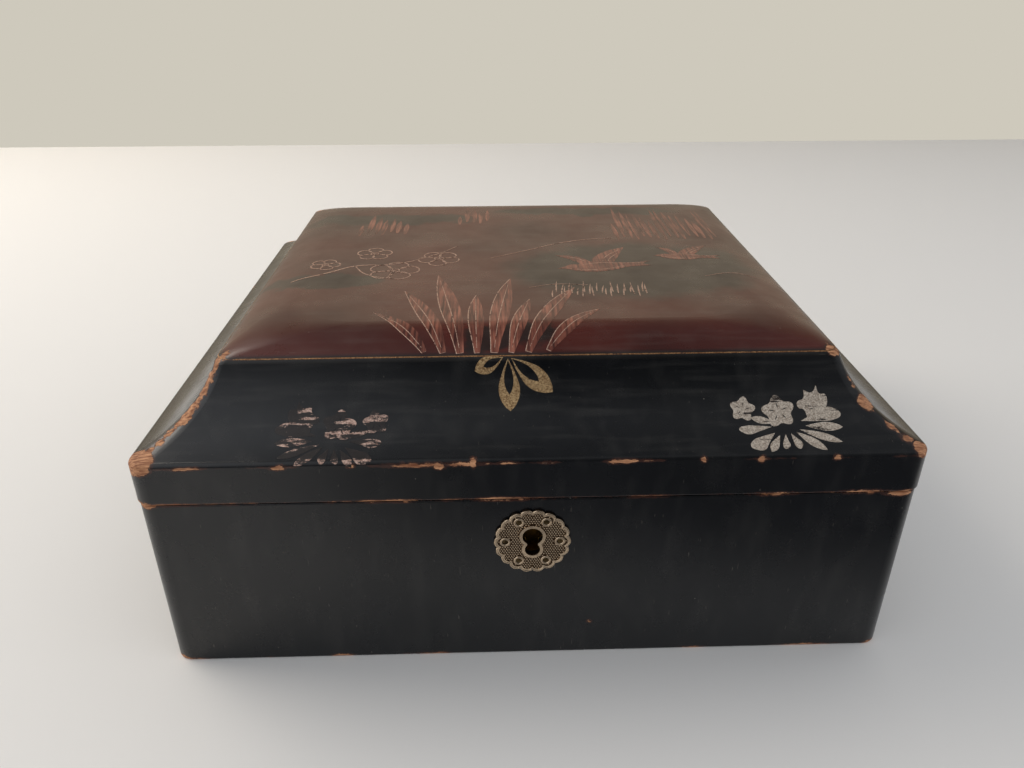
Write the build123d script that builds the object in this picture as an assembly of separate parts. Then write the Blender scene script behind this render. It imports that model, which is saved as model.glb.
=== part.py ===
from build123d import *
import os
from math import cos, pi, radians, sin

# A lacquered wooden jewelry box with a hinged, coved lid, a box lock and a chased keyhole plate.
# Millimetres. The origin is the centre of the underside, +Z is up and the front faces -Y.

# ---- driving sizes -------------------------------------------------------------------------------
WIDTH = 250.0            # lid rim, left to right
DEPTH = 225.0            # lid rim, front to back
SEAM_Z = 66.3            # height of the line where the lid meets the body
SEAM_GAP = 0.3           # lid and body stand this far apart
SETBACK = 0.4            # the body stands back from the lid rim by this all round
WALL = 8.0               # thickness of the boards
CORNER = 6.0             # radius of the upright corners
EDGE_WEAR = 0.7          # rounding on the long edges of the boards

BASE_THICK = 6.0
BASE_REBATE = 4.0        # how far the base panel runs into the walls
FINGERS = 7              # corner fingers over the height of the body

RAIL_TOP_Z = 79.0        # the rim rails end here and the cove boards start
ARRIS_Z = 79.9           # where the rim's face starts to turn into the cove
COVE_TOP_Z = 103.4       # top of the cove boards, underside of the top board
COVE_INSET = 23.8        # how far the top of the cove stands in from the rim
TOP_Z = 109.7            # flat of the top board
PILLOW_INSET = 42.5      # where the pillow edge has become flat
PILLOW_RIM_Z = 105.9     # the pillow edge's curve leaves the rim straight up, towards this height
PILLOW_SHOULDER = 36.5   # and comes flat from this inset
PILLOW_CORNER = 25.0     # plan radius of the flat's corners
PILLOW_STEPS = 12
HIP_RADIUS = 3.5         # rounding along the mitred hips
LINING = 1.8             # cloth-covered card
LINING_INSET = 33.5      # the lid's lining stands in from the rim by this
CROWN_INSET = 32.0       # the space under the coves has narrowed by this where it meets the top board
ARRIS_RUN = 1.6          # the rounded arris runs in and up by these
ARRIS_RISE = 1.55
COVE_BELLY = (13.7, 88.7)  # inset and height of the hollow's middle

# Hinges: a small butt hinge, its knuckle lying in the groove between the bevelled rear edges.
LID_OPENS = 105.0        # degrees
KNUCKLE_R = 1.9
PIN_R = 1.0
RUNNING = 0.05           # radial clearance of the turning knuckle on its pin
HINGE_X = 78.0           # middle of each hinge
HINGE_LENGTH = 32.0
LEAF_THICK = 1.2
CLEAR = 0.3              # between pieces that move past each other
PIVOT_Y = DEPTH / 2 - KNUCKLE_R
PIVOT_Z = SEAM_Z

# Lock, let into the front board from behind.
LOCK_WIDTH = 48.0
LOCK_BOTTOM_Z = 38.0
LOCK_PLATE = 1.0
SELVEDGE = 1.2
CASE_WIDTH = 36.0
CASE_BOTTOM_Z = 40.0
CASE_DEPTH = 5.0
CASE_WALL = 0.8
BOLT_THROW = 4.0
BOLT_LEFT = -16.0        # left end of the bolt's bar, drawn back
BOLT_RIGHT = 11.0
BAR_HIGH = 2.4
POST_X = (-16.0, 2.0)    # left side of each post
POST_WIDE = 2.2
POST_HIGH = 7.8
NOSE_HIGH = 2.6
KEY_NOTCH = (3.2, 1.2)   # width and height of the notch that the key's bit turns in
BAR_RUNNING = 0.1        # the bar runs this far above the ledge
LEDGE_X = 6.0            # inner end of the ledges in the case
LEDGE_THICK = 1.2
SPRING_LEDGE_DROP = 4.0  # the left ledge lies lower, under the spring
SPRING_THICK = 0.4
SPRING_BOW = 3.6
SPRING_X = (-15.0, -7.0)
SPRING_WIDE = 2.4
STRIKE_HALF_W = 23.0
STRIKE_HALF_D = 2.8
STRIKE_SCREW_X = 18.0
STAPLE_X = 9.0           # middle of each staple, left and right
STAPLE_SIZE = (1.6, 3.4, 8.0)
STAPLE_WIRE = 0.7        # thickness of the staple's legs

# Keyhole plate.
KEY_Z = 52.0             # middle of the round part of the keyhole
KEY_ROUND_R = 3.3
KEY_FOOT_R = 2.5
KEY_FOOT_DROP = 5.2      # from the middle of the round part to the middle of the foot
PLATE_Z = 49.8
PLATE_LOBES = 18
PLATE_RIM = 1.1          # width of the rolled rim
LOBE_R = 2.15
BOSS_RING_R = 8.9        # the six bosses stand on this circle
PLATE_R = 12.5
PLATE_THICK = 0.95
FIELD_THICK = 0.6
PIN_INTO_WOOD = 1.5
PIN_SHANK_R = 0.5
PIN_DOME_R = 1.25
LOBE_REACH = 1.2         # how far the lobes stand out from the ring they sit on
BOSS_R = 1.75
BOSS_WALL = 0.55
BOSS_HIGH = 0.3

SIDES = ("front", "back", "left", "right")

# ---- sizes that follow ---------------------------------------------------------------------------
BODY_TOP = SEAM_Z - SEAM_GAP / 2
LID_BOTTOM = SEAM_Z + SEAM_GAP / 2
BODY_W = WIDTH - 2 * SETBACK
BODY_D = DEPTH - 2 * SETBACK
INNER_W = BODY_W - 2 * WALL
INNER_D = BODY_D - 2 * WALL
FRONT_Y = -BODY_D / 2
LOCK_Y = FRONT_Y + WALL              # inner face of the front board
CASE_Y = LOCK_Y - LOCK_PLATE         # where the case meets the back plate
CASE_TOP_Z = BODY_TOP - SELVEDGE
SELVEDGE_FRONT_Y = CASE_Y - CASE_DEPTH - 0.5
STAPLE_Y = CASE_Y - CASE_DEPTH / 2 + CASE_WALL / 2


# ---- small makers --------------------------------------------------------------------------------
def slab(x0, x1, y0, y1, z0, z1):
    """A block between two opposite corners."""
    block = Box(x1 - x0, y1 - y0, z1 - z0)
    return Pos((x0 + x1) / 2, (y0 + y1) / 2, (z0 + z1) / 2) * block


def rounded_block(width, depth, z0, z1, radius, edge=0.0):
    """An upright block with rounded corners, and its top and bottom edges eased."""
    block = Pos(0, 0, z0) * extrude(RectangleRounded(width, depth, radius), z1 - z0)
    if edge:
        rims = block.edges().group_by(Axis.Z)
        block = fillet(rims[0] + rims[-1], edge)
    return block


def ring(width, depth, wall, z0, z1, radius, edge):
    """Four walls in one piece, before they are parted into boards."""
    outside = rounded_block(width, depth, z0, z1, radius, edge)
    return outside - slab(-width / 2 + wall, width / 2 - wall, -depth / 2 + wall, depth / 2 - wall, z0, z1)


def mitre_zone(side, z0, z1):
    """The quarter of the plan that belongs to one side, parted from its neighbours at 45 degrees."""
    half_w, half_d = WIDTH / 2 + 1, DEPTH / 2 + 1
    ridge = half_w - half_d
    corners = {
        "front": [(-half_w, -half_d), (half_w, -half_d), (ridge, 0), (-ridge, 0)],
        "back": [(half_w, half_d), (-half_w, half_d), (-ridge, 0), (ridge, 0)],
        "left": [(-half_w, half_d), (-half_w, -half_d), (-ridge, 0)],
        "right": [(half_w, -half_d), (half_w, half_d), (ridge, 0)],
    }[side]
    return Pos(0, 0, z0) * extrude(make_face(Polyline(*corners, close=True)), z1 - z0)


def rod(start, end, radius):
    """A cylinder from one point to another."""
    axis = Vector(*end) - Vector(*start)
    return extrude(Plane(origin=start, z_dir=axis) * Circle(radius), axis.length)


def wood_screw(head_at, direction, length=7.0, head_r=1.7, ease=0.0):
    """A countersunk screw; ease makes the hole for it instead."""
    shank_r = head_r * 0.55 + ease
    head_depth = head_r * 0.6
    end = length + ease
    taper = ((0, 0), (head_r + ease, 0), (shank_r, head_depth), (shank_r, end), (0, end))
    outline = Polyline(*taper, close=True)
    return Plane(origin=head_at, z_dir=direction) * revolve(Plane.XZ * make_face(outline), Axis.Z)


def side_by_side(pieces):
    """Separate solids that share one node."""
    return Compound(children=[p.solid() if hasattr(p, "solid") else p for p in pieces])


# ---- hinges --------------------------------------------------------------------------------------
def hinge_spans(middle):
    """The X ranges of the two outer knuckles, on the body, and of the lid's knuckle between them."""
    half = HINGE_LENGTH / 2
    third = HINGE_LENGTH / 6
    left = (middle - half, middle - third - CLEAR / 2)
    centre = (middle - third + CLEAR / 2, middle + third - CLEAR / 2)
    right = (middle + third + CLEAR / 2, middle + half)
    return [left, right], [centre]


def hinge_screw_places(middle, face_z):
    inner_y = BODY_D / 2 - WALL
    row_y = (inner_y + PIVOT_Y - KNUCKLE_R) / 2
    return [(middle + step * HINGE_LENGTH / 3, row_y, face_z) for step in (-1.1, 0, 1.1)]


def hinge_leaf(middle, on_lid):
    """A leaf with its knuckles, notched to clear the knuckles of the other leaf."""
    body_spans, lid_spans = hinge_spans(middle)
    own, other = (lid_spans, body_spans) if on_lid else (body_spans, lid_spans)
    face_z = LID_BOTTOM if on_lid else BODY_TOP
    away = 1 if on_lid else -1
    z0, z1 = sorted((face_z, face_z + away * LEAF_THICK))
    half = HINGE_LENGTH / 2
    leaf = slab(middle - half, middle + half, BODY_D / 2 - WALL, PIVOT_Y, z0, z1)
    for x0, x1 in other:
        leaf -= rod((x0 - CLEAR, PIVOT_Y, PIVOT_Z), (x1 + CLEAR, PIVOT_Y, PIVOT_Z), KNUCKLE_R + CLEAR)
    bore = PIN_R + RUNNING if on_lid else PIN_R
    for x0, x1 in own:
        leaf += rod((x0, PIVOT_Y, PIVOT_Z), (x1, PIVOT_Y, PIVOT_Z), KNUCKLE_R)
    leaf -= rod((middle - half - 1, PIVOT_Y, PIVOT_Z), (middle + half + 1, PIVOT_Y, PIVOT_Z), bore)
    for place in hinge_screw_places(middle, face_z):
        leaf -= wood_screw(place, (0, 0, away), ease=0.05)
    return leaf


def hinge_pin(middle):
    half = HINGE_LENGTH / 2 + 0.4
    pin = rod((middle - half, PIVOT_Y, PIVOT_Z), (middle + half, PIVOT_Y, PIVOT_Z), PIN_R)
    return chamfer(pin.edges().filter_by(GeomType.CIRCLE), 0.25)


def hinge_pocket(middle, on_lid):
    """What a hinge needs cut from the board it sits in: the leaf's bed, the knuckle's groove, the screws."""
    half = HINGE_LENGTH / 2
    face_z = LID_BOTTOM if on_lid else BODY_TOP
    away = 1 if on_lid else -1
    z0, z1 = sorted((face_z - away, face_z + away * LEAF_THICK))
    pocket = slab(middle - half, middle + half, BODY_D / 2 - WALL - 1, PIVOT_Y, z0, z1)
    pocket += rod(
        (middle - half - 0.8, PIVOT_Y, PIVOT_Z), (middle + half + 0.8, PIVOT_Y, PIVOT_Z), KNUCKLE_R + CLEAR
    )
    for place in hinge_screw_places(middle, face_z):
        pocket += wood_screw(place, (0, 0, away), ease=0.05)
    return pocket


def rear_bevel(on_lid):
    """Taken off both rear edges, so that they meet and stop the lid when it is fully open."""
    tilt = LID_OPENS / 2
    wedge = slab(-WIDTH, WIDTH, -0.2, 20, -20, 0)
    if on_lid:
        turned = Rot(tilt, 0, 0) * Pos(0, 0, 0.2) * wedge
    else:
        turned = mirror(Rot(tilt, 0, 0) * Pos(0, 0, 0.2) * wedge, Plane.XY)
    return Pos(0, PIVOT_Y, PIVOT_Z) * turned


# ---- keyhole -------------------------------------------------------------------------------------
def keyhole(grow, y0, y1):
    """The figure-of-eight keyhole, cut from front to back."""
    outline = Pos(0, KEY_Z) * Circle(KEY_ROUND_R + grow)
    outline += Pos(0, KEY_Z - KEY_FOOT_DROP) * Circle(KEY_FOOT_R + grow)
    neck = KEY_FOOT_R * 0.72 + grow
    outline += Pos(0, KEY_Z - KEY_FOOT_DROP / 2) * Rectangle(2 * neck, KEY_FOOT_DROP)
    return extrude(Plane(origin=(0, y1, 0), x_dir=(1, 0, 0), z_dir=(0, -1, 0)) * outline, y1 - y0)


# ---- body ----------------------------------------------------------------------------------------
def corner_blocks(keep_even):
    """The corner fingers at every second level, on all four corners."""
    step = BODY_TOP / FINGERS
    blocks = []
    for level in range(FINGERS):
        if (level % 2 == 0) != keep_even:
            continue
        for sx in (-1, 1):
            for sy in (-1, 1):
                x0, x1 = sorted((sx * INNER_W / 2, sx * WIDTH))
                y0, y1 = sorted((sy * INNER_D / 2, sy * DEPTH))
                blocks.append(slab(x0, x1, y0, y1, level * step, (level + 1) * step))
    return blocks


def body_boards():
    walls = ring(BODY_W, BODY_D, WALL, 0, BODY_TOP, CORNER, EDGE_WEAR)
    rebate_w, rebate_d = INNER_W / 2 + BASE_REBATE, INNER_D / 2 + BASE_REBATE
    walls -= slab(-rebate_w, rebate_w, -rebate_d, rebate_d, 0, BASE_THICK)
    front_zone = slab(-WIDTH, WIDTH, -DEPTH, -INNER_D / 2, 0, BODY_TOP)
    side_zone = slab(INNER_W / 2, WIDTH, -DEPTH, DEPTH, 0, BODY_TOP)
    odd_fingers = corner_blocks(False)
    even_fingers = corner_blocks(True)
    front = (walls & front_zone) - odd_fingers
    back = (walls & mirror(front_zone, Plane.XZ)) - odd_fingers
    right = (walls & side_zone) - even_fingers
    left = (walls & mirror(side_zone, Plane.YZ)) - even_fingers
    return front, back, left, right


def lock_screw_places():
    edge = (LOCK_WIDTH + CASE_WIDTH) / 4
    return [(sx * edge, LOCK_Y, z) for sx in (-1, 1) for z in (LOCK_BOTTOM_Z + 5, BODY_TOP - 6)]


def lock_mortise():
    half, case_half = LOCK_WIDTH / 2, CASE_WIDTH / 2 + 0.2
    cut = slab(-half, half, CASE_Y, LOCK_Y + 1, LOCK_BOTTOM_Z, BODY_TOP + 1)
    cut += slab(-half, half, SELVEDGE_FRONT_Y, LOCK_Y + 1, CASE_TOP_Z, BODY_TOP + 1)
    cut += slab(-case_half, case_half, CASE_Y - CASE_DEPTH - 0.2, CASE_Y, CASE_BOTTOM_Z - 0.2, BODY_TOP)
    cut += keyhole(0.4, FRONT_Y - 1, CASE_Y)
    for place in lock_screw_places():
        cut += wood_screw(place, (0, -1, 0), length=5.5, ease=0.05)
    return cut


def strike_slots():
    """Two slots in the selvedge for the staples on the lid."""
    x_size, y_size, _ = STAPLE_SIZE
    cut = []
    for sx in (-1, 1):
        x = sx * STAPLE_X
        half_x, half_y = x_size / 2 + 0.45, y_size / 2 + 0.45
        y0, y1 = STAPLE_Y - half_y, STAPLE_Y + half_y
        cut.append(slab(x - half_x, x + half_x, y0, y1, CASE_TOP_Z - 1, BODY_TOP + 1))
    return cut


def lock_plate():
    half = LOCK_WIDTH / 2
    plate = slab(-half, half, CASE_Y, LOCK_Y, LOCK_BOTTOM_Z, BODY_TOP)
    plate += slab(-half, half, SELVEDGE_FRONT_Y, LOCK_Y, CASE_TOP_Z, BODY_TOP)
    for place in lock_screw_places():
        plate -= wood_screw(place, (0, -1, 0), length=5.5, ease=0.05)
    return plate - strike_slots()


def lock_case():
    """A tray with the inner keyhole, open towards the back plate and under the selvedge."""
    half = CASE_WIDTH / 2
    front = CASE_Y - CASE_DEPTH
    tray = slab(-half, half, front, CASE_Y, CASE_BOTTOM_Z, CASE_TOP_Z)
    inner_half = half - CASE_WALL
    inner_bottom = CASE_BOTTOM_Z + CASE_WALL
    tray -= slab(-inner_half, inner_half, front + CASE_WALL, CASE_Y, inner_bottom, CASE_TOP_Z)
    ledge_top = KEY_Z + KEY_ROUND_R
    low_top = ledge_top - SPRING_LEDGE_DROP
    tray += slab(LEDGE_X, half, front, CASE_Y, ledge_top - LEDGE_THICK, ledge_top)
    tray += slab(-half, -LEDGE_X, front, CASE_Y, low_top - LEDGE_THICK, low_top)
    return tray - keyhole(0.2, front - 1, front + CASE_WALL + 1)


def lock_bolt():
    """Bar with two posts, each carrying a nose that slides into a staple."""
    foot = KEY_Z + KEY_ROUND_R + BAR_RUNNING
    y0, y1 = STAPLE_Y - 1.5, STAPLE_Y + 1.5
    nose_y0, nose_y1 = STAPLE_Y - 0.7, STAPLE_Y + 0.7
    notch_wide, notch_high = KEY_NOTCH
    bar = slab(BOLT_LEFT, BOLT_RIGHT, y0, y1, foot, foot + BAR_HIGH)
    bar -= slab(-notch_wide / 2, notch_wide / 2, y0, y1, foot, foot + notch_high)
    for post_x in POST_X:
        nose_end = post_x + BOLT_THROW + 1.7
        bar += slab(post_x, post_x + POST_WIDE, y0, y1, foot, foot + POST_HIGH)
        bar += slab(post_x, nose_end, nose_y0, nose_y1, foot + POST_HIGH - NOSE_HIGH, foot + POST_HIGH)
    return bar


def bolt_spring():
    """A bowed leaf under the bar that drags on the case's ledge and steadies the bolt."""
    top = KEY_Z + KEY_ROUND_R + BAR_RUNNING
    belly = top - SPRING_BOW
    left, right = SPRING_X
    middle = (left + right) / 2
    inner_left, inner_right = left + SPRING_THICK, right - SPRING_THICK
    outline = ThreePointArc((left, top), (middle, belly), (right, top))
    outline += Line((right, top), (inner_right, top))
    outline += ThreePointArc((inner_right, top), (middle, belly + SPRING_THICK), (inner_left, top))
    outline += Line((inner_left, top), (left, top))
    back = Plane(origin=(0, STAPLE_Y + SPRING_WIDE / 2, 0), x_dir=(1, 0, 0), z_dir=(0, -1, 0))
    return extrude(back * make_face(outline), SPRING_WIDE)


def scallops(ring_r, lobe_r):
    """A round outline with lobes whose middles stand on a slightly smaller circle."""
    outline = Circle(ring_r)
    for lobe in range(PLATE_LOBES):
        turn = 2 * pi * lobe / PLATE_LOBES
        reach = ring_r + LOBE_REACH - lobe_r
        outline += Pos(reach * cos(turn), reach * sin(turn)) * Circle(lobe_r)
    return outline


def boss_places():
    turns = [radians(turn) for turn in range(0, 360, 60)]
    return [(BOSS_RING_R * cos(turn), BOSS_RING_R * sin(turn)) for turn in turns]


def escutcheon():
    """Scalloped plate with a rolled rim, a sunk field, ringed bosses and a raised keyhole border."""
    ring_r = PLATE_R - LOBE_REACH
    plate = extrude(scallops(ring_r, LOBE_R), PLATE_THICK)
    plate -= Pos(0, 0, FIELD_THICK) * extrude(scallops(ring_r - PLATE_RIM, LOBE_R - 0.35), PLATE_THICK)
    for number, (x, y) in enumerate(boss_places()):
        boss_z = FIELD_THICK + BOSS_HIGH / 2
        plate += Pos(x, y, boss_z) * (Cylinder(BOSS_R, BOSS_HIGH) - Cylinder(BOSS_R - BOSS_WALL, BOSS_HIGH))
        if number % 3 == 0:
            plate -= Pos(x, y, 0) * Cylinder(PIN_SHANK_R + 0.05, 4)
        else:
            plate += Pos(x, y, boss_z) * Cone(BOSS_R / 2, BOSS_R / 4, BOSS_HIGH)
    placed = Plane(origin=(0, FRONT_Y, PLATE_Z), x_dir=(1, 0, 0), z_dir=(0, -1, 0)) * plate
    placed += keyhole(1.0, FRONT_Y - PLATE_THICK - 0.15, FRONT_Y)
    placed -= keyhole(0.0, FRONT_Y - 5, FRONT_Y + 1)
    return placed & slab(-WIDTH, WIDTH, FRONT_Y - 5, FRONT_Y, 0, BODY_TOP)


def escutcheon_pins():
    """Short dome-headed pins through the left and right bosses."""
    pins = []
    for x, z in boss_places()[::3]:
        place = Plane(origin=(x, FRONT_Y, PLATE_Z + z), x_dir=(1, 0, 0), z_dir=(0, -1, 0))
        dome = Pos(0, 0, -0.8) * Sphere(PIN_DOME_R) & Pos(0, 0, 0.5) * Box(3, 3, 1)
        head = Pos(0, 0, FIELD_THICK) * dome
        length = FIELD_THICK + PIN_INTO_WOOD
        shank = Pos(0, 0, FIELD_THICK - length / 2) * Cylinder(PIN_SHANK_R, length)
        pins.append(place * (head + shank))
    return pins


def escutcheon_pin_holes():
    """The holes in the front board for those pins."""
    holes = []
    for x, z in boss_places()[::3]:
        mouth = (x, FRONT_Y - 1, PLATE_Z + z)
        bottom = (x, FRONT_Y + PIN_INTO_WOOD + 0.1, PLATE_Z + z)
        holes.append(rod(mouth, bottom, PIN_SHANK_R + 0.05))
    return holes


# ---- lid -----------------------------------------------------------------------------------------
def lid_rails():
    rim = ring(WIDTH, DEPTH, WALL + SETBACK, LID_BOTTOM, RAIL_TOP_Z + 5, CORNER, EDGE_WEAR)
    rim &= slab(-WIDTH, WIDTH, -DEPTH, DEPTH, LID_BOTTOM, RAIL_TOP_Z)
    return {side: rim & mitre_zone(side, LID_BOTTOM, RAIL_TOP_Z) for side in SIDES}


def lid_section(inset, z, corner):
    """Level section of the lid's outside."""
    return Pos(0, 0, z) * RectangleRounded(WIDTH - 2 * inset, DEPTH - 2 * inset, corner)


def lofted_along(curve, steps):
    """The lid's outside over one stretch of its side profile; X is the inset and Y the height."""
    sections = []
    for step in range(steps + 1):
        point = curve @ (step / steps)
        corner = CORNER + (HIP_RADIUS - CORNER) * point.X / COVE_INSET
        sections.append(lid_section(point.X, point.Y, corner))
    return loft(sections)


def cove_outside():
    """The slopes filled in: a short upright, the worn arris over it, then the hollow curve."""
    arris_end = (ARRIS_RUN, ARRIS_Z + ARRIS_RISE)
    hollow_end = (COVE_INSET, COVE_TOP_Z)
    arris = ThreePointArc((0, ARRIS_Z), (0.5, ARRIS_Z + 1.05), arris_end)
    hollow = ThreePointArc(arris_end, COVE_BELLY, hollow_end)
    upright = rounded_block(WIDTH, DEPTH, RAIL_TOP_Z, ARRIS_Z, CORNER)
    return upright + lofted_along(arris, 4) + lofted_along(hollow, 7)


def hollow_profile(reach):
    """Section of the space under the coves."""
    inner = reach - WALL - SETBACK
    crown = reach - CROWN_INSET
    low, high = RAIL_TOP_Z - 1, COVE_TOP_Z + 1
    belly = (-inner + 7.6, RAIL_TOP_Z + 3.2)
    foot, top = (-inner, RAIL_TOP_Z), (-crown, COVE_TOP_Z)
    edge = Polyline(foot, (-inner, low), (0, low), (0, high), (-crown, high), top)
    edge += ThreePointArc(top, belly, foot)
    half = make_face(edge)
    return half + mirror(half, Plane.YZ)


def crossed(profile, half_w, half_d):
    """Two sections run through each other at right angles, so that their slopes meet in mitred hips."""
    along_y = extrude(Plane.XZ * profile(half_w), DEPTH, both=True)
    along_x = extrude(Plane.YZ * profile(half_d), WIDTH, both=True)
    return along_y & along_x


def cove_boards():
    shell = cove_outside() - crossed(hollow_profile, WIDTH / 2, DEPTH / 2)
    return {side: shell & mitre_zone(side, RAIL_TOP_Z - 1, COVE_TOP_Z + 1) for side in SIDES}


def top_board():
    """Pillow-edged board: rounded at the rim, an even slope, a soft shoulder, corners that widen."""
    rim, shoulder = (COVE_INSET, COVE_TOP_Z), (PILLOW_INSET, TOP_Z)
    slope = Bezier(rim, (COVE_INSET, PILLOW_RIM_Z), (PILLOW_SHOULDER, TOP_Z), shoulder)
    sections = []
    for step in range(PILLOW_STEPS + 1):
        point = slope @ (step / PILLOW_STEPS)
        widened = (point.X - COVE_INSET) / (PILLOW_INSET - COVE_INSET)
        corner = HIP_RADIUS + (PILLOW_CORNER - HIP_RADIUS) * widened
        sections.append(lid_section(point.X, point.Y, corner))
    return loft(sections)


def lid_lining():
    half_w, half_d = WIDTH / 2 - LINING_INSET, DEPTH / 2 - LINING_INSET
    return rounded_block(2 * half_w, 2 * half_d, COVE_TOP_Z - LINING, COVE_TOP_Z, 2.0)


def strike_screw_places():
    return [(sx * STRIKE_SCREW_X, STAPLE_Y, LID_BOTTOM) for sx in (-1, 1)]


def strike_plate():
    """Plate let into the lid's front rail, with two staples hanging from it."""
    y0, y1 = STAPLE_Y - STRIKE_HALF_D, STAPLE_Y + STRIKE_HALF_D
    plate = slab(-STRIKE_HALF_W, STRIKE_HALF_W, y0, y1, LID_BOTTOM, LID_BOTTOM + SELVEDGE)
    x_size, y_size, z_size = STAPLE_SIZE
    for sx in (-1, 1):
        x = sx * STAPLE_X
        y2, y3 = STAPLE_Y - y_size / 2, STAPLE_Y + y_size / 2
        plate += slab(x - x_size / 2, x + x_size / 2, y2, y3, LID_BOTTOM - z_size, LID_BOTTOM)
        eye_y0, eye_y1 = y2 + STAPLE_WIRE, y3 - STAPLE_WIRE
        eye_z0, eye_z1 = LID_BOTTOM - z_size + 2 * STAPLE_WIRE, LID_BOTTOM - 1.6
        plate -= slab(x - x_size, x + x_size, eye_y0, eye_y1, eye_z0, eye_z1)
    for place in strike_screw_places():
        plate -= wood_screw(place, (0, 0, 1), ease=0.05)
    return plate


def strike_pocket():
    y0, y1 = STAPLE_Y - STRIKE_HALF_D, STAPLE_Y + STRIKE_HALF_D
    pocket = slab(-STRIKE_HALF_W, STRIKE_HALF_W, y0, y1, LID_BOTTOM - 1, LID_BOTTOM + SELVEDGE)
    for place in strike_screw_places():
        pocket += wood_screw(place, (0, 0, 1), ease=0.05)
    return pocket


# ---- the whole box -------------------------------------------------------------------------------
def build():
    nodes = {}
    front, back, left, right = body_boards()
    for middle in (-HINGE_X, HINGE_X):
        back -= hinge_pocket(middle, on_lid=False)
    nodes["front_board"] = front - lock_mortise() - escutcheon_pin_holes()
    nodes["back_board"] = back - rear_bevel(on_lid=False)
    nodes["left_board"] = left - rear_bevel(on_lid=False)
    nodes["right_board"] = right - rear_bevel(on_lid=False)
    half_w, half_d = INNER_W / 2 + BASE_REBATE, INNER_D / 2 + BASE_REBATE
    nodes["base_panel"] = slab(-half_w, half_w, -half_d, half_d, 0, BASE_THICK)
    nodes["floor_lining"] = rounded_block(INNER_W - 0.4, INNER_D - 0.4, BASE_THICK, BASE_THICK + LINING, 1.0)
    nodes["lock_plate"] = lock_plate()
    nodes["lock_case"] = lock_case()
    nodes["lock_screws"] = side_by_side([wood_screw(p, (0, -1, 0), length=5.5) for p in lock_screw_places()])
    nodes["lock_bolt"] = lock_bolt()
    nodes["bolt_spring"] = bolt_spring()
    nodes["escutcheon"] = escutcheon()
    nodes["escutcheon_pins"] = side_by_side(escutcheon_pins())

    rails = lid_rails()
    for middle in (-HINGE_X, HINGE_X):
        rails["back"] -= hinge_pocket(middle, on_lid=True)
    for side in ("back", "left", "right"):
        rails[side] -= rear_bevel(on_lid=True)
    rails["front"] -= strike_pocket()
    for side, rail in rails.items():
        nodes[f"lid_{side}_rail"] = rail
    for side, cove in cove_boards().items():
        nodes[f"{side}_cove"] = cove
    nodes["top_board"] = top_board()
    nodes["lid_lining"] = lid_lining()
    nodes["strike_plate"] = strike_plate()
    nodes["strike_screws"] = side_by_side([wood_screw(p, (0, 0, 1)) for p in strike_screw_places()])

    body_screws, lid_screws = [], []
    for hand, middle in (("left", -HINGE_X), ("right", HINGE_X)):
        nodes[f"{hand}_hinge_body_leaf"] = hinge_leaf(middle, on_lid=False)
        nodes[f"{hand}_hinge_lid_leaf"] = hinge_leaf(middle, on_lid=True)
        nodes[f"{hand}_hinge_pin"] = hinge_pin(middle)
        body_screws += [wood_screw(p, (0, 0, -1)) for p in hinge_screw_places(middle, BODY_TOP)]
        lid_screws += [wood_screw(p, (0, 0, 1)) for p in hinge_screw_places(middle, LID_BOTTOM)]
    nodes["body_hinge_screws"] = side_by_side(body_screws)
    nodes["lid_hinge_screws"] = side_by_side(lid_screws)
    return nodes


os.makedirs("parts", exist_ok=True)
for name, shape in build().items():
    export_step(shape, f"parts/{name}.step")
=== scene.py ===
import math
from contextlib import contextmanager
from functools import partial

import bpy
from mathutils import Matrix, Vector


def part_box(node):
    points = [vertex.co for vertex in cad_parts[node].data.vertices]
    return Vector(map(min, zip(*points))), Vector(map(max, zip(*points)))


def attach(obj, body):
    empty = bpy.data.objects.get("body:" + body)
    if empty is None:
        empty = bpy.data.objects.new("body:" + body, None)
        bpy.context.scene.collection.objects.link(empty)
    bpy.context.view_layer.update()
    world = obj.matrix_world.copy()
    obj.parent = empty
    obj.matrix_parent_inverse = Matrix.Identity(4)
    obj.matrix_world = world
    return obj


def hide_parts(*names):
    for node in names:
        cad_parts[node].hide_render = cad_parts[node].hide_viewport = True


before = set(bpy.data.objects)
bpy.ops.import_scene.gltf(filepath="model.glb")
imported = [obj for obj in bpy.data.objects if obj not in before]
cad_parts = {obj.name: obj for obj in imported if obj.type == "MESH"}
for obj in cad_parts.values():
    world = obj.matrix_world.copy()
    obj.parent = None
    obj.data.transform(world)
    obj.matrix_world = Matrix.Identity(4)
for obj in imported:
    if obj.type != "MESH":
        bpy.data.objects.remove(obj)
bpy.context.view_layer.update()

# The looks of a lacquered wooden jewelry box: black lacquer worn to the wood along its edges, a red-brown
# pillow top painted with reeds and water, gold and silver sprinkled work, and a punched keyhole plate.

MM = 0.001

# ---- places taken from the frame, mm ----
HALF_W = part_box("lid_right_rail")[1].x / MM
HALF_D = -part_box("lid_front_rail")[0].y / MM
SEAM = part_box("lid_front_rail")[0].z / MM
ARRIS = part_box("front_cove")[0].z / MM + 0.9
COVE_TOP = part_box("top_board")[0].z / MM
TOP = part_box("top_board")[1].z / MM
COVE_INSET = HALF_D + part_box("top_board")[0].y / MM
GOLD_LINE = COVE_TOP + 1.8
PLATE_LOW, PLATE_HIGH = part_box("escutcheon")
PLATE_Z = (PLATE_LOW.z + PLATE_HIGH.z) / 2 / MM
BOARD_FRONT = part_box("front_board")[0].y / MM
FIELD_FACE = BOARD_FRONT - 0.6  # face of the keyhole plate's sunk field


# ---- small tools ----
def srgb(code):
    """An sRGB hex colour as linear red, green, blue and 1."""
    parts = [int(code[i:i + 2], 16) / 255 for i in (1, 3, 5)]
    return [c / 12.92 if c <= 0.04045 else ((c + 0.055) / 1.055) ** 2.4 for c in parts] + [1.0]


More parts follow.
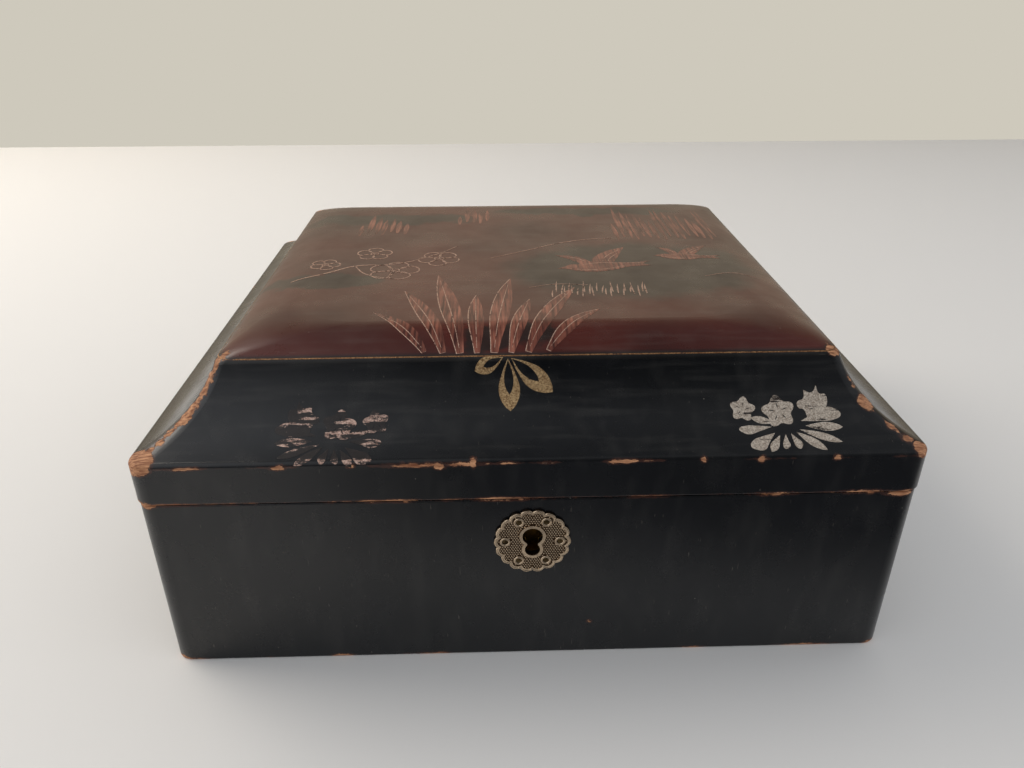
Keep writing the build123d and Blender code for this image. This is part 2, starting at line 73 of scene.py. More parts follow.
def add_node(tree, kind, *inputs, **settings):
    """Adds a node with its settings and links. The kind may end in an operation, as in "Math ADD". Inputs are
    in order, or one dictionary by name; a MapRange has value, from, to, and what those two become. A hex code
    is a colour."""
    kind, _, operation = kind.partition(" ")
    node = tree.nodes.new("ShaderNode" + kind)
    if operation:
        node.operation = operation
    for name, value in settings.items():
        setattr(node, name, value)
    named = inputs[0].items() if inputs and isinstance(inputs[0], dict) else enumerate(inputs)
    for name, value in named:
        if isinstance(value, str):
            value = srgb(value)
        if isinstance(value, bpy.types.Node):
            value = value.outputs[0]
        if isinstance(value, bpy.types.NodeSocket):
            tree.links.new(value, node.inputs[name])
        elif value is not None:
            node.inputs[name].default_value = value
    return node


EASED = {"interpolation_type": "SMOOTHSTEP"}  # for a MapRange without a visible start and end


def new_material(name):
    """An empty material, and add_node for its tree."""
    material = bpy.data.materials.new(name)
    material.use_nodes = True
    material.node_tree.nodes.clear()
    return material, partial(add_node, material.node_tree)


def pick(*pieces):
    """Selects these pieces and nothing else; the first becomes the active one."""
    bpy.ops.object.select_all(action="DESELECT")
    for piece in pieces:
        piece.select_set(True)
    bpy.context.view_layer.objects.active = pieces[0]


def settle(piece):
    """Moves a piece's place, turn and scale into its mesh."""
    pick(piece)
    bpy.ops.object.transform_apply(location=True, rotation=True, scale=True)
    return piece


@contextmanager
def editing(piece):
    """Edit mode on one piece, with all of it selected."""
    pick(piece)
    bpy.ops.object.mode_set(mode="EDIT")
    bpy.ops.mesh.select_all(action="SELECT")
    yield
    bpy.ops.object.mode_set(mode="OBJECT")


def cut(at, normal):
    """Cuts the piece that is being edited, square to an axis at a distance along it."""
    bpy.ops.mesh.select_all(action="SELECT")
    bpy.ops.mesh.bisect(plane_co=[at * n for n in normal], plane_no=normal)


def apply_modifier(piece, kind, **settings):
    pick(piece)
    modifier = piece.modifiers.new(kind.lower(), kind)
    for name, value in settings.items():
        setattr(modifier, name, value)
    bpy.ops.object.modifier_apply(modifier=modifier.name)


def joined(name, pieces):
    pick(*pieces)
    if len(pieces) > 1:
        bpy.ops.object.join()
    piece = bpy.context.object
    piece.name = piece.data.name = name
    return piece


def finished(piece, body, material):
    """Gives a piece its material and its body."""
    piece.data.materials.clear()
    piece.data.materials.append(material)
    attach(piece, body)
    return piece


def copy_of(model):
    piece = model.copy()
    piece.data = model.data.copy()
    bpy.context.collection.objects.link(piece)
    return piece


def dress(names, material):
    """Puts a material on CAD nodes whose shape is already right."""
    for name in names:
        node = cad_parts[name]
        node.data.materials.clear()
        node.data.materials.append(material)


# ---- camera, floor and light ----
CAMERA_AT = (-12.4, -317.6, 215.2)  # mm
CAMERA_HEADING, CAMERA_TILT, CAMERA_ROLL = -1.64, 62.3, -0.14  # degrees
LENS, SENSOR = 28.0, 36  # mm
FLOOR_WIDE, FLOOR_DEEP = 6, 4  # metres
WALL_WIDE, WALL_HIGH, WALL_Y = 4, 0.9, 0.8  # metres; it stands at the back edge of the floor
WINDOW_AT, WINDOW_AIM = (-1.1, 0.5, 0.9), (0, 0, 0.05)  # metres
WINDOW_WIDE, WINDOW_HIGH, WINDOW_POWER = 1.1, 0.9, 13.6  # metres and watts


def aim_camera():
    """A short lens, close in and looking down over the front edge."""
    turn = (Matrix.Rotation(math.radians(CAMERA_HEADING), 3, "Z")
            @ Matrix.Rotation(math.radians(CAMERA_TILT), 3, "X")
            @ Matrix.Rotation(math.radians(CAMERA_ROLL), 3, "Z"))
    bpy.ops.object.camera_add(location=[v * MM for v in CAMERA_AT], rotation=turn.to_euler())
    camera = bpy.context.object
    camera.data.sensor_width = SENSOR
    camera.data.lens = LENS
    camera.data.clip_start = 0.01
    bpy.context.scene.camera = camera


EMULSION = {"Roughness": 0.9, "Specular IOR Level": 0.2}


def wall_paint():
    """Flat emulsion, seen in one plain colour. In the box's reflections it glows instead with a painted
    sunlit patch that dims upwards: painted light, not a lamp.
    """
    material, add = new_material("matt_wall_paint")
    path = add("LightPath")
    paint = add("BsdfPrincipled", {"Base Color": "#D6D0C5", **EMULSION})
    plain = add("Emission", {"Color": "#CEC9BC", "Strength": 1.0})
    place = add("SeparateXYZ", add("NewGeometry").outputs["Position"])
    across, height = place.outputs["X"], place.outputs["Z"]
    # The painted sunlit patch ends lower towards both sides, and fades out downwards, less so on the left.
    beside = add("Math SUBTRACT", add("Math ABSOLUTE", across), 0.2)
    beside = add("Math MAXIMUM", beside, 0.0)
    arched = add("Math MULTIPLY_ADD", beside, 0.2, height)
    upper = add("MapRange", arched, 0.76, 0.44, 0.12, 1.1, **EASED)
    shaded = add("MapRange", across, -0.5, -0.3, 0.62, 0.52)
    lower = add("MapRange", height, 0.30, 0.46, shaded)
    painted_sunlit_glow = add("Math MULTIPLY", upper, lower)
    # A glow seen only in the box's reflections: painted light standing in for sun on the wall.
    mirrored = add("Emission", {"Color": "#F4E3C8", "Strength": painted_sunlit_glow})
    seen = add("MixShader", path.outputs["Is Camera Ray"], paint, plain)
    add("OutputMaterial", add("MixShader", path.outputs["Is Glossy Ray"], seen, mirrored))
    return material


def table_paint():
    """Flat emulsion. In the box's own reflections it turns dark a hand's breadth in front of the box and
    towards the right: painted shade, seen only in reflections.
    """
    material, add = new_material("matt_table_paint")
    paint = add("BsdfPrincipled", {"Base Color": "#EEECE8", **EMULSION})
    place = add("SeparateXYZ", add("NewGeometry").outputs["Position"])
    near = add("Math MULTIPLY_ADD", place.outputs["X"], -0.2, place.outputs["Y"])
    painted_shade_in_front = add("MapRange", near, -0.14, -0.21, 0.0, 0.85, **EASED)
    right = add("MapRange", place.outputs["X"], -0.13, -0.04, 0.1)
    painted_shade_in_front = add("Math MULTIPLY", painted_shade_in_front, right)
    painted_dark_reflection = add("Math MULTIPLY", painted_shade_in_front, add("LightPath").outputs["Is Glossy Ray"])
    # The dark is an emission seen only in glossy rays: painted shade in the reflections, not the table's
    # colour.
    dark = add("Emission", {"Color": "#262B37", "Strength": 1.0})
    add("OutputMaterial", add("MixShader", painted_dark_reflection, paint, dark))
    return material


def lay_floor():
    """A pale table top and a plain wall well behind the box."""
    bpy.ops.mesh.primitive_plane_add(size=1, location=(0, WALL_Y - FLOOR_DEEP / 2, 0))
    floor = bpy.context.object
    floor.name = "studio_floor"
    floor.scale = (FLOOR_WIDE, FLOOR_DEEP, 1)
    floor.data.materials.append(table_paint())
    bpy.ops.mesh.primitive_plane_add(size=1, location=(0, WALL_Y, WALL_HIGH / 2),
                                     rotation=(math.radians(90), 0, 0))
    wall = bpy.context.object
    wall.name = "studio_wall"
    wall.scale = (WALL_WIDE, WALL_HIGH, 1)
    wall.data.materials.append(wall_paint())


def light_studio():
    """A wide window-like light from the left and behind, and a soft room that is dim towards the viewer."""
    turn = (Vector(WINDOW_AIM) - Vector(WINDOW_AT)).to_track_quat("-Z", "Y").to_euler()
    bpy.ops.object.light_add(type="AREA", location=WINDOW_AT, rotation=turn)
    window = bpy.context.object
    window.name = "window_light"
    window.data.shape = "RECTANGLE"
    window.data.size, window.data.size_y = WINDOW_WIDE, WINDOW_HIGH
    window.data.energy = WINDOW_POWER
    window.data.color = srgb("#FFF6EA")[:3]
    world = bpy.data.worlds.new("soft_room")
    bpy.context.scene.world = world
    world.use_nodes = True
    world.node_tree.nodes.clear()
    add = partial(add_node, world.node_tree)
    # What the lacquer mirrors: black towards the viewer, dim overhead, bright overhead on the left, and
    # bright low down behind and to the sides.
    way = add("SeparateXYZ", add("TexCoord").outputs["Generated"])
    x, y, z = way.outputs["X"], way.outputs["Y"], way.outputs["Z"]
    over = add("MapRange", y, -0.9, -0.3, 0.0, 0.24, **EASED)
    less = add("MapRange", y, -0.3, 0.1, 0.0, 0.12)
    over = add("Math SUBTRACT", over, less)
    left = add("MapRange", x, 0.05, -0.4, 0.0, 0.66)
    ahead = add("MapRange", y, 0.45, 0.0)
    high = add("MapRange", z, 0.2, 0.5)
    left = add("Math MULTIPLY", add("Math MULTIPLY", left, ahead), high)
    over = add("Math ADD", over, left)
    low = add("MapRange", z, 0.62, 0.34, **EASED)
    back = add("MapRange", y, 0.1, 0.8, **EASED)
    back = add("Math MULTIPLY", back, low)
    aside = add("MapRange", x, -0.9, 0.9, 0.75, 0.2)
    aside = add("Math MULTIPLY", aside, add("Math ABSOLUTE", x))
    strength = add("Math ADD", add("Math ADD", over, back), aside)
    mirrored = add("Background", {"Color": "#F3F5F9", "Strength": strength})
    even = add("MapRange", x, -0.9, 0.9, 0.52, 0.80)
    soft = add("Background", {"Color": "#F1F4FA", "Strength": even})
    backdrop = add("Background", {"Color": "#D8D5CE", "Strength": 1.0})
    path = add("LightPath")
    room = add("MixShader", path.outputs["Is Glossy Ray"], soft, mirrored)
    add("OutputWorld", add("MixShader", path.outputs["Is Camera Ray"], room, backdrop))
    bpy.context.scene.view_settings.view_transform = "Standard"


# ---- patterns in millimetres ----
def millimetres(add):
    """The object's own place as millimetres."""
    return add("VectorMath SCALE", {0: add("TexCoord").outputs["Object"], "Scale": 1 / MM})


def patches(add, place, size, detail, grit, low, high, most=1.0, least=0.0, squeeze=None):
    """Uneven patches about a size in millimetres across: least below the low noise value and most above the
    high one. A squeeze multiplies the three axes first, so that 1/7 makes patches 7 times as long."""
    if squeeze:
        place = add("VectorMath MULTIPLY", place, squeeze)
    noise = add("TexNoise", {"Vector": place, "Scale": 1 / size, "Detail": detail, "Roughness": grit})
    return add("MapRange", noise, low, high, least, most)


def shaken_points(add, place, size, detail, grit, *reaches):
    """The place moved about unevenly, once for each reach in millimetres."""
    shake = add("TexNoise", {"Vector": place, "Scale": 1 / size, "Detail": detail, "Roughness": grit})
    shake = add("VectorMath SUBTRACT", shake.outputs["Color"], (0.5, 0.5, 0.5))
    return [add("VectorMath MULTIPLY_ADD", shake, reach, place) for reach in reaches]


def eaten_away(add, place, size, detail, grit, start, widen, away):
    """The distance from an edge, less how far uneven wear has widened from it: most where the noise is most
    above the start."""
    reach = add("TexNoise", {"Vector": place, "Scale": 1 / size, "Detail": detail, "Roughness": grit})
    reach = add("Math SUBTRACT", reach, start)
    return add("Math MULTIPLY_ADD", reach, -widen, away)


def share_out(add, place, middle, half_sizes):
    """How far out of a rounded patch a point is: 0 in its middle and 1 at its edge."""
    away = add("VectorMath SUBTRACT", place, middle)
    away = add("VectorMath MULTIPLY", away, [1 / half for half in half_sizes])
    return add("VectorMath LENGTH", away).outputs["Value"]


# ---- lacquer ----
GRIT = 0.5  # share of fine noise in a pattern that needs no more than usual
# Long edges that wear: how far in from the side, height, how readily patches start, how fast they widen.
WORN_EDGES = [
    (0.2, ARRIS, 0.56, 5.0),
    (0.0, SEAM, 0.40, 3.0),
    (0.0, 0.0, 0.52, 6.0),
    (COVE_INSET, COVE_TOP, 0.70, 7.0),
]
# Chips through to the wood: left to right, front to back, height, then half sizes on the same three axes, mm.
CORNER_CHIPS = [
    (-HALF_W + 3, -HALF_D + 3, ARRIS + 0.6, 6.4, 5.4, 3.8),
    (-HALF_W + 2, -HALF_D + 1, SEAM - 0.3, 5.4, 3.0, 1.5),
    (-HALF_W + 3, -HALF_D + 1, 0, 4.6, 4.0, 1.6),
    (HALF_W - 2.5, -HALF_D + 2.5, ARRIS + 1.0, 3.4, 3.4, 2.6),
    (HALF_W - 3, -HALF_D + 1, 0, 3.6, 3.0, 1.4),
    (HALF_W - 2, HALF_D - 2, 1, 4.6, 4.0, 3.0),
    (-HALF_W + 2, HALF_D - 2, SEAM, 4.0, 3.0, 2.0),
    (-HALF_W + 1, HALF_D - 1, ARRIS, 4.0, 4.0, 3.6),
]
HIP_CHIPS = [
    (HALF_W - 26.2, -HALF_D + 25.6, COVE_TOP + 1.7, 2.9, 2.6, 2.4),
    (HALF_W - 16.2, -HALF_D + 15.8, 91.3, 3.6, 3.6, 3.2),
    (HALF_W - 9.9, -HALF_D + 9.6, 85.8, 1.9, 1.9, 1.5),
    (HALF_W - 5.9, -HALF_D + 5.6, 83.3, 2.6, 2.2, 1.3),
    (-HALF_W + 6.3, -HALF_D + 6.0, 83.5, 2.0, 1.8, 1.3),
    (-HALF_W + 8.6, -HALF_D + 8.5, 84.9, 2.0, 2.0, 1.4),
]
SIDE_CHIPS = [
    (60, HALF_D, ARRIS, 5.0, 2.0, 1.6),
    (-HALF_W, 40, ARRIS, 2.0, 6.0, 1.6),
    (HALF_W, -30, ARRIS, 2.0, 5.0, 1.4),
    (20, -HALF_D, 14, 0.8, 0.8, 0.6),
]
# Those on the three long edges of the front: left to right, height above the edge, then the three half sizes.
ARRIS_CHIPS = [
    (-78.0, -0.2, 2.2, 2.0, 0.8), (-56.0, 0, 1.2, 1.5, 0.6), (-36.0, -0.1, 8.0, 2.0, 0.7),
    (-29.0, -0.6, 1.8, 2.0, 1.2), (-18.5, 0.4, 1.0, 2.0, 1.7), (-22.0, 0, 4.6, 1.6, 0.6),
    (25.4, 0, 1.9, 1.4, 0.8), (52.7, 0, 1.0, 1.4, 0.9), (70.8, -0.2, 1.2, 1.6, 1.1), (94.7, 0, 1.3, 1.6, 0.9),
]
SEAM_CHIPS = [(77, 0, 6.0, 2.0, 0.7), (106, 0.2, 7.0, 2.0, 0.8), (118, -0.8, 5.0, 2.0, 1.0)]
FOOT_CHIPS = [(98, 0, 10.0, 3.0, 0.9), (58, 0, 5.0, 3.0, 0.8), (-66, 0, 4.0, 3.0, 1.3)]
CHIPS = CORNER_CHIPS + HIP_CHIPS + SIDE_CHIPS
for edge, chips in ((ARRIS, ARRIS_CHIPS), (SEAM, SEAM_CHIPS), (0, FOOT_CHIPS)):
    CHIPS += [(x, -HALF_D, edge + above, *half_sizes) for x, above, *half_sizes in chips]


def worn_gap(add, place):
    """How far a point is from the nearest worn-through patch, mm; negative inside one."""
    # Broken paint has no smooth outline, so every distance is taken from a shaken point: hardly shaken along
    # the edges, where it cracks off in splinters, and more in the chips and on the hips.
    reaches = [(much, much, much * 0.8) for much in (1.2, 3.2, 5.0)]
    points = shaken_points(add, place, 2.2, 6.0, 0.74, *reaches)
    sides, heights = [], []
    for point in points:
        spread = add("VectorMath ABSOLUTE", point)
        inset = add("SeparateXYZ", add("VectorMath SUBTRACT", (HALF_W, HALF_D, 0), spread))
        side = add("Math MINIMUM", inset.outputs["X"], inset.outputs["Y"])
        sides.append(add("Math MAXIMUM", side, 0.0))
        heights.append(add("SeparateXYZ", point).outputs["Z"])
    edge_side, edge_height = sides[0], heights[0]
    hip_side, hip_height = sides[2], heights[2]
    across = add("Math SUBTRACT", inset.outputs["X"], inset.outputs["Y"])
    gap = None
    for number, (in_from_side, level, start, widen) in enumerate(WORN_EDGES):
        away = add("CombineXYZ", edge_side, edge_height)
        away = add("VectorMath DISTANCE", away, (in_from_side, level, 0)).outputs["Value"]
        along = add("VectorMath ADD", place, (41 * number, 17, 5))
        left = eaten_away(add, along, 15, 3.0, 0.6, start, widen, away)
        gap = left if gap is None else add("Math MINIMUM", gap, left)
    # The mitred hips and upright corners, worn most on the left; the flat of the top has none.
    away = add("Math MULTIPLY", add("Math ABSOLUTE", across), 0.7)
    inner = add("Math SUBTRACT", hip_side, COVE_INSET + 4)
    inner = add("Math MAXIMUM", inner, 0.0)
    away = add("Math MULTIPLY_ADD", inner, 3.0, away)
    under = add("MapRange", hip_height, ARRIS, ARRIS - 3, 0.0, 4.5)
    away = add("Math ADD", away, under)
    # Nor have the hidden sides of the boards, inside the box and under the coves.
    slope = add("Math MULTIPLY_ADD", edge_side, (COVE_TOP - ARRIS) / COVE_INSET, ARRIS)
    depth = add("Math MINIMUM", slope, COVE_TOP)
    depth = add("Math SUBTRACT", depth, edge_height)
    depth = add("Math SUBTRACT", depth, 6.0)
    inside = add("Math SUBTRACT", edge_side, 3.5)
    inside = add("Math MINIMUM", depth, inside)
    inside = add("MapRange", inside, 0.0, 2.0, 0.0, 15.0)
    away = add("Math ADD", away, inside)
    start = add("MapRange", add("SeparateXYZ", place).outputs["X"], -HALF_W, HALF_W, 0.33, 0.53)
    gap = add("Math MINIMUM", gap, eaten_away(add, place, 11, 4.0, 0.62, start, 10.0, away))
    for x, y, z, *half_sizes in CHIPS:
        share = share_out(add, points[1], (x, y, z), half_sizes)
        smallest = min(half_sizes)
        left = add("Math MULTIPLY_ADD", share, smallest, -smallest)
        gap = add("Math MINIMUM", gap, left)
    return gap


# Dark washes under the picture: middle and half sizes, mm.
WASHES = [(44, -20, 50, 32), (-58, 52, 40, 9), (-8, -79, 15, 7), (34, 62, 46, 7), (-78, -30, 24, 7)]


def dark_washes(add, place, coat):
    """Thin green-black lacquer rubbed out softly at its edges: water, mist and the ground under the reeds."""
    shaken = shaken_points(add, place, 16, 4.0, 0.6, (22.0, 22.0, 0.0))[0]
    nearest = 2.0
    for x, y, long, deep in WASHES:
        share = share_out(add, shaken, (x, y, 0), (long, deep, math.inf))
        nearest = add("Math MINIMUM", nearest, share)
    wash = add("MapRange", nearest, 1.12, 0.80, 0.0, 0.82, **EASED)
    return add("MixRGB", wash, coat, "#16130F")


def wiped_and_scratched(add, place, coat, scratch_squeeze):
    """Faint grey smears, specks of dust and fine scratches on a coat."""
    # Wiping leaves smears a few centimetres long and mostly upright.
    smear = patches(add, place, 1, 2.0, GRIT, 0.5, 0.85, 0.045, squeeze=(1 / 7, 1 / 7, 1 / 22))
    coat = add("MixRGB", smear, coat, "#8A867E")
    # On the lid they run from side to side, longer and narrower.
    smear = patches(add, place, 1, 3.0, GRIT, 0.52, 0.74, 0.055, squeeze=(1 / 36, 1 / 3.4, 1 / 3.4))
    height = add("SeparateXYZ", place).outputs["Z"]
    above = add("MapRange", height, ARRIS, ARRIS + 4)
    smear = add("Math MULTIPLY", smear, above)
    coat = add("MixRGB", smear, coat, "#8A867E")
    # Specks of dust 0.3 mm across, on one cell in eight of a 4 mm net.
    dust = add("TexVoronoi", {"Vector": place, "Scale": 1 / 4.0})
    speck = add("Math LESS_THAN", dust.outputs["Distance"], 0.045)
    few = add("Math GREATER_THAN", add("SeparateXYZ", dust.outputs["Color"]), 0.88)
    speck = add("Math MULTIPLY", add("Math MULTIPLY", speck, few), 0.4)
    coat = add("MixRGB", speck, coat, "#A39C90")
    scratches = patches(add, place, 1, 1.0, GRIT, 0.76, 0.82, 0.26, squeeze=scratch_squeeze)
    return add("MixRGB", scratches, coat, "#8C8478")


def lacquer(name, dark, light, roughness, skirt=None):
    """Brushed urushi lacquer on wood, a century old: deep and satin, smeared, scratched and dusty, and broken
    through along the edges to a thin dark ground coat and tan wood. With a skirt, the colour below the gold
    line, it is the painted top."""
    material, add = new_material(name)
    place = millimetres(add)
    gap = worn_gap(add, place)
    bare = add("MapRange", gap, 0.0, -0.12)
    ground = add("MapRange", gap, 0.5, 0.2)

    drift = patches(add, place, 55, 2.0, GRIT, 0.35, 0.65)
    coat = add("MixRGB", drift, dark, light)
    if skirt:
        coat = dark_washes(add, place, coat)
        height = add("SeparateXYZ", place).outputs["Z"]
        low = add("MapRange", height, GOLD_LINE + 0.5, GOLD_LINE - 0.3)
        coat = add("MixRGB", low, coat, skirt)
    # The scratches are a quarter of a millimetre wide, upright on the sides and level on the painted top.
    scratch_squeeze = (1 / 7.0, 1 / 0.6, 1 / 0.6) if skirt else (1 / 0.5, 1 / 0.9, 1 / 5.0)
    coat = wiped_and_scratched(add, place, coat, scratch_squeeze)

    grain = add("VectorMath MULTIPLY", place, (0.12, 1.0, 1.0))
    grain = add("TexNoise", {"Vector": grain, "Scale": 1 / 0.8, "Detail": 4.0, "Roughness": 0.7})
    wood = add("MapRange", grain, 0.38, 0.64)
    wood = add("MixRGB", wood, "#7A4628", "#D29A70")
    colour = add("MixRGB", ground, coat, "#3A2018")
    colour = add("MixRGB", bare, colour, wood)

    rubbed = patches(add, place, 24, 6.0, 0.65, 0.35, 0.7, roughness + 0.08, roughness - 0.05)
    rough = add("Math MULTIPLY_ADD", bare, 0.5, rubbed)
    relief = add("Math MULTIPLY", grain, bare)
    relief = add("Math MULTIPLY_ADD", relief, 0.6, bare)
    relief = add("Math MULTIPLY", relief, -1.0)
    waves = add("TexNoise", {"Vector": place, "Scale": 1 / 24, "Detail": 1.0})
    waves = add("Bump", {"Height": waves, "Strength": 1.0, "Distance": 0.05 * MM})
    normal = add("Bump", {"Height": relief, "Strength": 1.0, "Distance": 0.35 * MM, "Normal": waves})
    add("OutputMaterial", add("BsdfPrincipled", {
        "Base Color": colour, "Roughness": rough, "IOR": 1.52, "Normal": normal}))
    return material


# ---- metal, sprinkled work and cloth ----
def sprinkled_metal(name, bright, dull, under, worn_from, worn_to, squeeze=None):
    """Metal filings sprinkled on wet lacquer and polished: a grainy soft glitter with the ground between the
    grains, rubbed away in patches or, where it was wiped one way, in streaks. The grains are drawn 0.35 mm
    across, coarser than real powder, to show."""
    material, add = new_material(name)
    place = millimetres(add)
    grains = add("TexVoronoi", {"Vector": place, "Scale": 1 / 0.35})
    shade = add("SeparateXYZ", grains.outputs["Color"])
    metal = add("MixRGB", shade.outputs["X"], dull, bright)
    rubbed = patches(add, place, 3.2, 6.0, 0.7, worn_from, worn_to, squeeze=squeeze)
    thin = add("Math MULTIPLY_ADD", shade.outputs["Y"], 0.35, 0.35)
    left = add("Math SUBTRACT", rubbed, thin)
    kept = add("MapRange", left, -0.1, 0.1)
    colour = add("MixRGB", kept, under, metal)
    metallic = add("Math MULTIPLY", kept, 0.55)
    rough = add("MapRange", kept, 0.0, 1.0, 0.32, 0.5)
    relief = add("Bump", {"Height": shade.outputs["Z"], "Strength": 0.6, "Distance": 0.05 * MM})
    add("OutputMaterial", add("BsdfPrincipled", {
        "Base Color": colour, "Metallic": metallic, "Roughness": rough, "Normal": relief}))
    return material


def tinted_lacquer(name, ground, first, second, roughness):
    """Pigment rubbed into lacquer and brushed on thin with a dry brush: streaked along the stroke, with the
    ground showing between the hairs and where it has worn, and as glossy as the ground."""
    material, add = new_material(name)
    place = millimetres(add)
    streaks = patches(add, place, 1.1, 4.0, 0.6, 0.36, 0.62, squeeze=(1.0, 0.06, 0.06))
    patchy = patches(add, place, 12, 4.0, GRIT, 0.36, 0.58, least=0.5)
    paint = add("MixRGB", patchy, first, second)
    kept = add("Math MULTIPLY", streaks, patchy)
    colour = add("MixRGB", kept, ground, paint)
    lift = add("Bump", {"Height": streaks, "Strength": 0.5, "Distance": 0.04 * MM})
    add("OutputMaterial", add("BsdfPrincipled", {
        "Base Color": colour, "Roughness": roughness, "IOR": 1.52, "Normal": lift}))
    return material


def aged_metal(name, clean, tarnish, roughness, worn_high=False):
    """Rolled or stamped metal left to dull: dark tarnish in patches, brighter where it is handled. Worn high,
    the tarnish lies in the sunk ground of a stamped plate and darkens the lower flanks of its raised lines,
    partly as painted shade, while their crests are rubbed clean."""
    material, add = new_material(name)
    place = millimetres(add)
    dull = patches(add, place, 3.0, 5.0, 0.65, 0.38, 0.68)
    if worn_high:
        # Darker towards the sunk field: tarnish in the ground, and painted shade on the lower flanks of the
        # wires and beads.
        depth = add("SeparateXYZ", place).outputs["Y"]
        sunk_tarnish_and_shade = add("MapRange", depth, FIELD_FACE - 0.22, FIELD_FACE - 0.03)
        dull = add("Math MULTIPLY", dull, 0.4)
        dull = add("Math MAXIMUM", dull, sunk_tarnish_and_shade)
    colour = add("MixRGB", dull, clean, tarnish)
    rough = add("MapRange", dull, 0.0, 1.0, roughness, roughness + 0.25)
    fine = add("VectorMath MULTIPLY", place, (0.15, 1.0, 1.0))
    fine = add("TexNoise", {"Vector": fine, "Scale": 1 / 0.25, "Detail": 3.0})
    relief = add("Bump", {"Height": fine, "Strength": 0.4, "Distance": 0.03 * MM})
    add("OutputMaterial", add("BsdfPrincipled", {
        "Base Color": colour, "Metallic": 1.0, "Roughness": rough, "Normal": relief}))
    return material


def woven_silk(name, warp, weft, slub):
    """Thin plain-woven silk, faded and slightly slubbed, with a soft sheen. The threads are drawn 0.4 mm
    apart, wider than real ones, to show."""
    material, add = new_material(name)
    place = millimetres(add)
    weave = {"Vector": place, "Scale": 0.79, "Distortion": 0.6, "Detail": 1.0}
    across = add("TexWave", weave, bands_direction="X")
    along = add("TexWave", weave, bands_direction="Y")
    threads = add("Math MAXIMUM", across.outputs["Fac"], along.outputs["Fac"])
    colour = add("MixRGB", threads, warp, weft)
    slubs = patches(add, place, 1, 2.0, GRIT, 0.56, 0.72, 0.5, squeeze=(1 / 22, 1 / 0.7, 1.0))
    colour = add("MixRGB", slubs, colour, slub)
    faded = patches(add, place, 60, 3.0, GRIT, 0.45, 0.7, 0.3)
    colour = add("MixRGB", faded, colour, "#8E5A48")
    relief = add("Math MULTIPLY_ADD", slubs, 0.8, threads)
    relief = add("Bump", {"Height": relief, "Strength": 0.7, "Distance": 0.06 * MM})
    add("OutputMaterial", add("BsdfPrincipled", {
        "Base Color": colour, "Roughness": 0.62, "Normal": relief,
        "Sheen Weight": 0.35, "Sheen Roughness": 0.4}))
    return material


# ---- drawing on the lacquer ----
NIB_HALF = 0.5  # mm; a knot's radius of 1 makes the brush line 1 mm wide


def make_nib():
    """The flat cross-section that every brush line is drawn with."""
    curve = bpy.data.curves.new("nib", "CURVE")
    curve.dimensions = "2D"
    ends = curve.splines.new("POLY")
    ends.points.add(1)
    ends.points[0].co = (-NIB_HALF * MM, 0, 0, 1)
    ends.points[1].co = (NIB_HALF * MM, 0, 0, 1)
    nib = bpy.data.objects.new("nib", curve)
    bpy.context.collection.objects.link(nib)
    return nib


def add_knots(spline, knots, corners):
    """Knots of place in millimetres; the third value marks a sharp corner, or is the line's width."""
    spline.bezier_points.add(len(knots) - 1)
    for point, knot in zip(spline.bezier_points, knots):
        point.co = (knot[0] * MM, knot[1] * MM, 0)
        handle = "VECTOR" if corners and len(knot) > 2 else "AUTO"
        point.handle_left_type = point.handle_right_type = handle
        if not corners:
            point.radius = knot[2]


def flat_mesh(curve):
    drawing = bpy.data.objects.new("drawing", curve)
    bpy.context.collection.objects.link(drawing)
    pick(drawing)
    bpy.ops.object.convert(target="MESH")
    return bpy.context.object


def filled(*outlines, fineness=6):
    """A flat shape from closed outlines in millimetres, with inner ones cut out."""
    curve = bpy.data.curves.new("outline", "CURVE")
    curve.dimensions = "2D"
    curve.fill_mode = "BOTH"
    curve.resolution_u = fineness
    for knots in outlines:
        spline = curve.splines.new("BEZIER")
        spline.use_cyclic_u = True
        add_knots(spline, knots, True)
    return flat_mesh(curve)


def brushed(knots, closed=False, fineness=6):
    """A brush line through knots of place and width in millimetres."""
    curve = bpy.data.curves.new("line", "CURVE")
    curve.dimensions = "2D"
    curve.resolution_u = fineness
    curve.bevel_mode = "OBJECT"
    curve.bevel_object = NIB
    spline = curve.splines.new("BEZIER")
    spline.use_cyclic_u = closed
    add_knots(spline, knots, False)
    return flat_mesh(curve)


def moved(knots, x, y, turn=0.0, size=1.0, mirror=False):
    """The same knots turned clockwise by degrees, scaled and moved."""
    c, s = math.cos(math.radians(turn)), math.sin(math.radians(turn))
    across = -size if mirror else size
    return [(x + across * (kx * c + ky * s), y + size * (ky * c - kx * s), *rest) for kx, ky, *rest in knots]


def raised(knots, gap):
    """The same knots further out along +Y."""
    return [(x, y + gap, *rest) for x, y, *rest in knots]


def leaf(length, width, belly=0.6):
    """A pointed leaf from its root at the origin towards +Y."""
    half = width / 2
    side = [(half * 0.62, length * belly * 0.45), (half, length * belly), (half * 0.55, length * 0.88)]
    return [(0, 0, 1), *side, (0, length, 1), *[(-x, y) for x, y in reversed(side)]]


def paddle(length, width):
    """A leaf that is broad and blunt at its outer end."""
    half = width / 2
    return [(0, 0, 1), (half * 0.7, length * 0.45), (half, length * 0.78), (half * 0.5, length),
            (-half * 0.35, length * 0.93), (-half, length * 0.74), (-half * 0.6, length * 0.4)]


def star(radius, lobes, waist):
    """A bellflower seen from above; the waist is how far out its lobes part, as a share of the radius."""
    knots = []
    for lobe in range(lobes):
        for share, reach in ((-0.16, 0.93), (0.0, 1.0), (0.16, 0.93), (0.5, waist)):
            angle = 2 * math.pi * (lobe + share) / lobes
            knots.append((radius * reach * math.sin(angle), radius * reach * math.cos(angle)))
    return knots


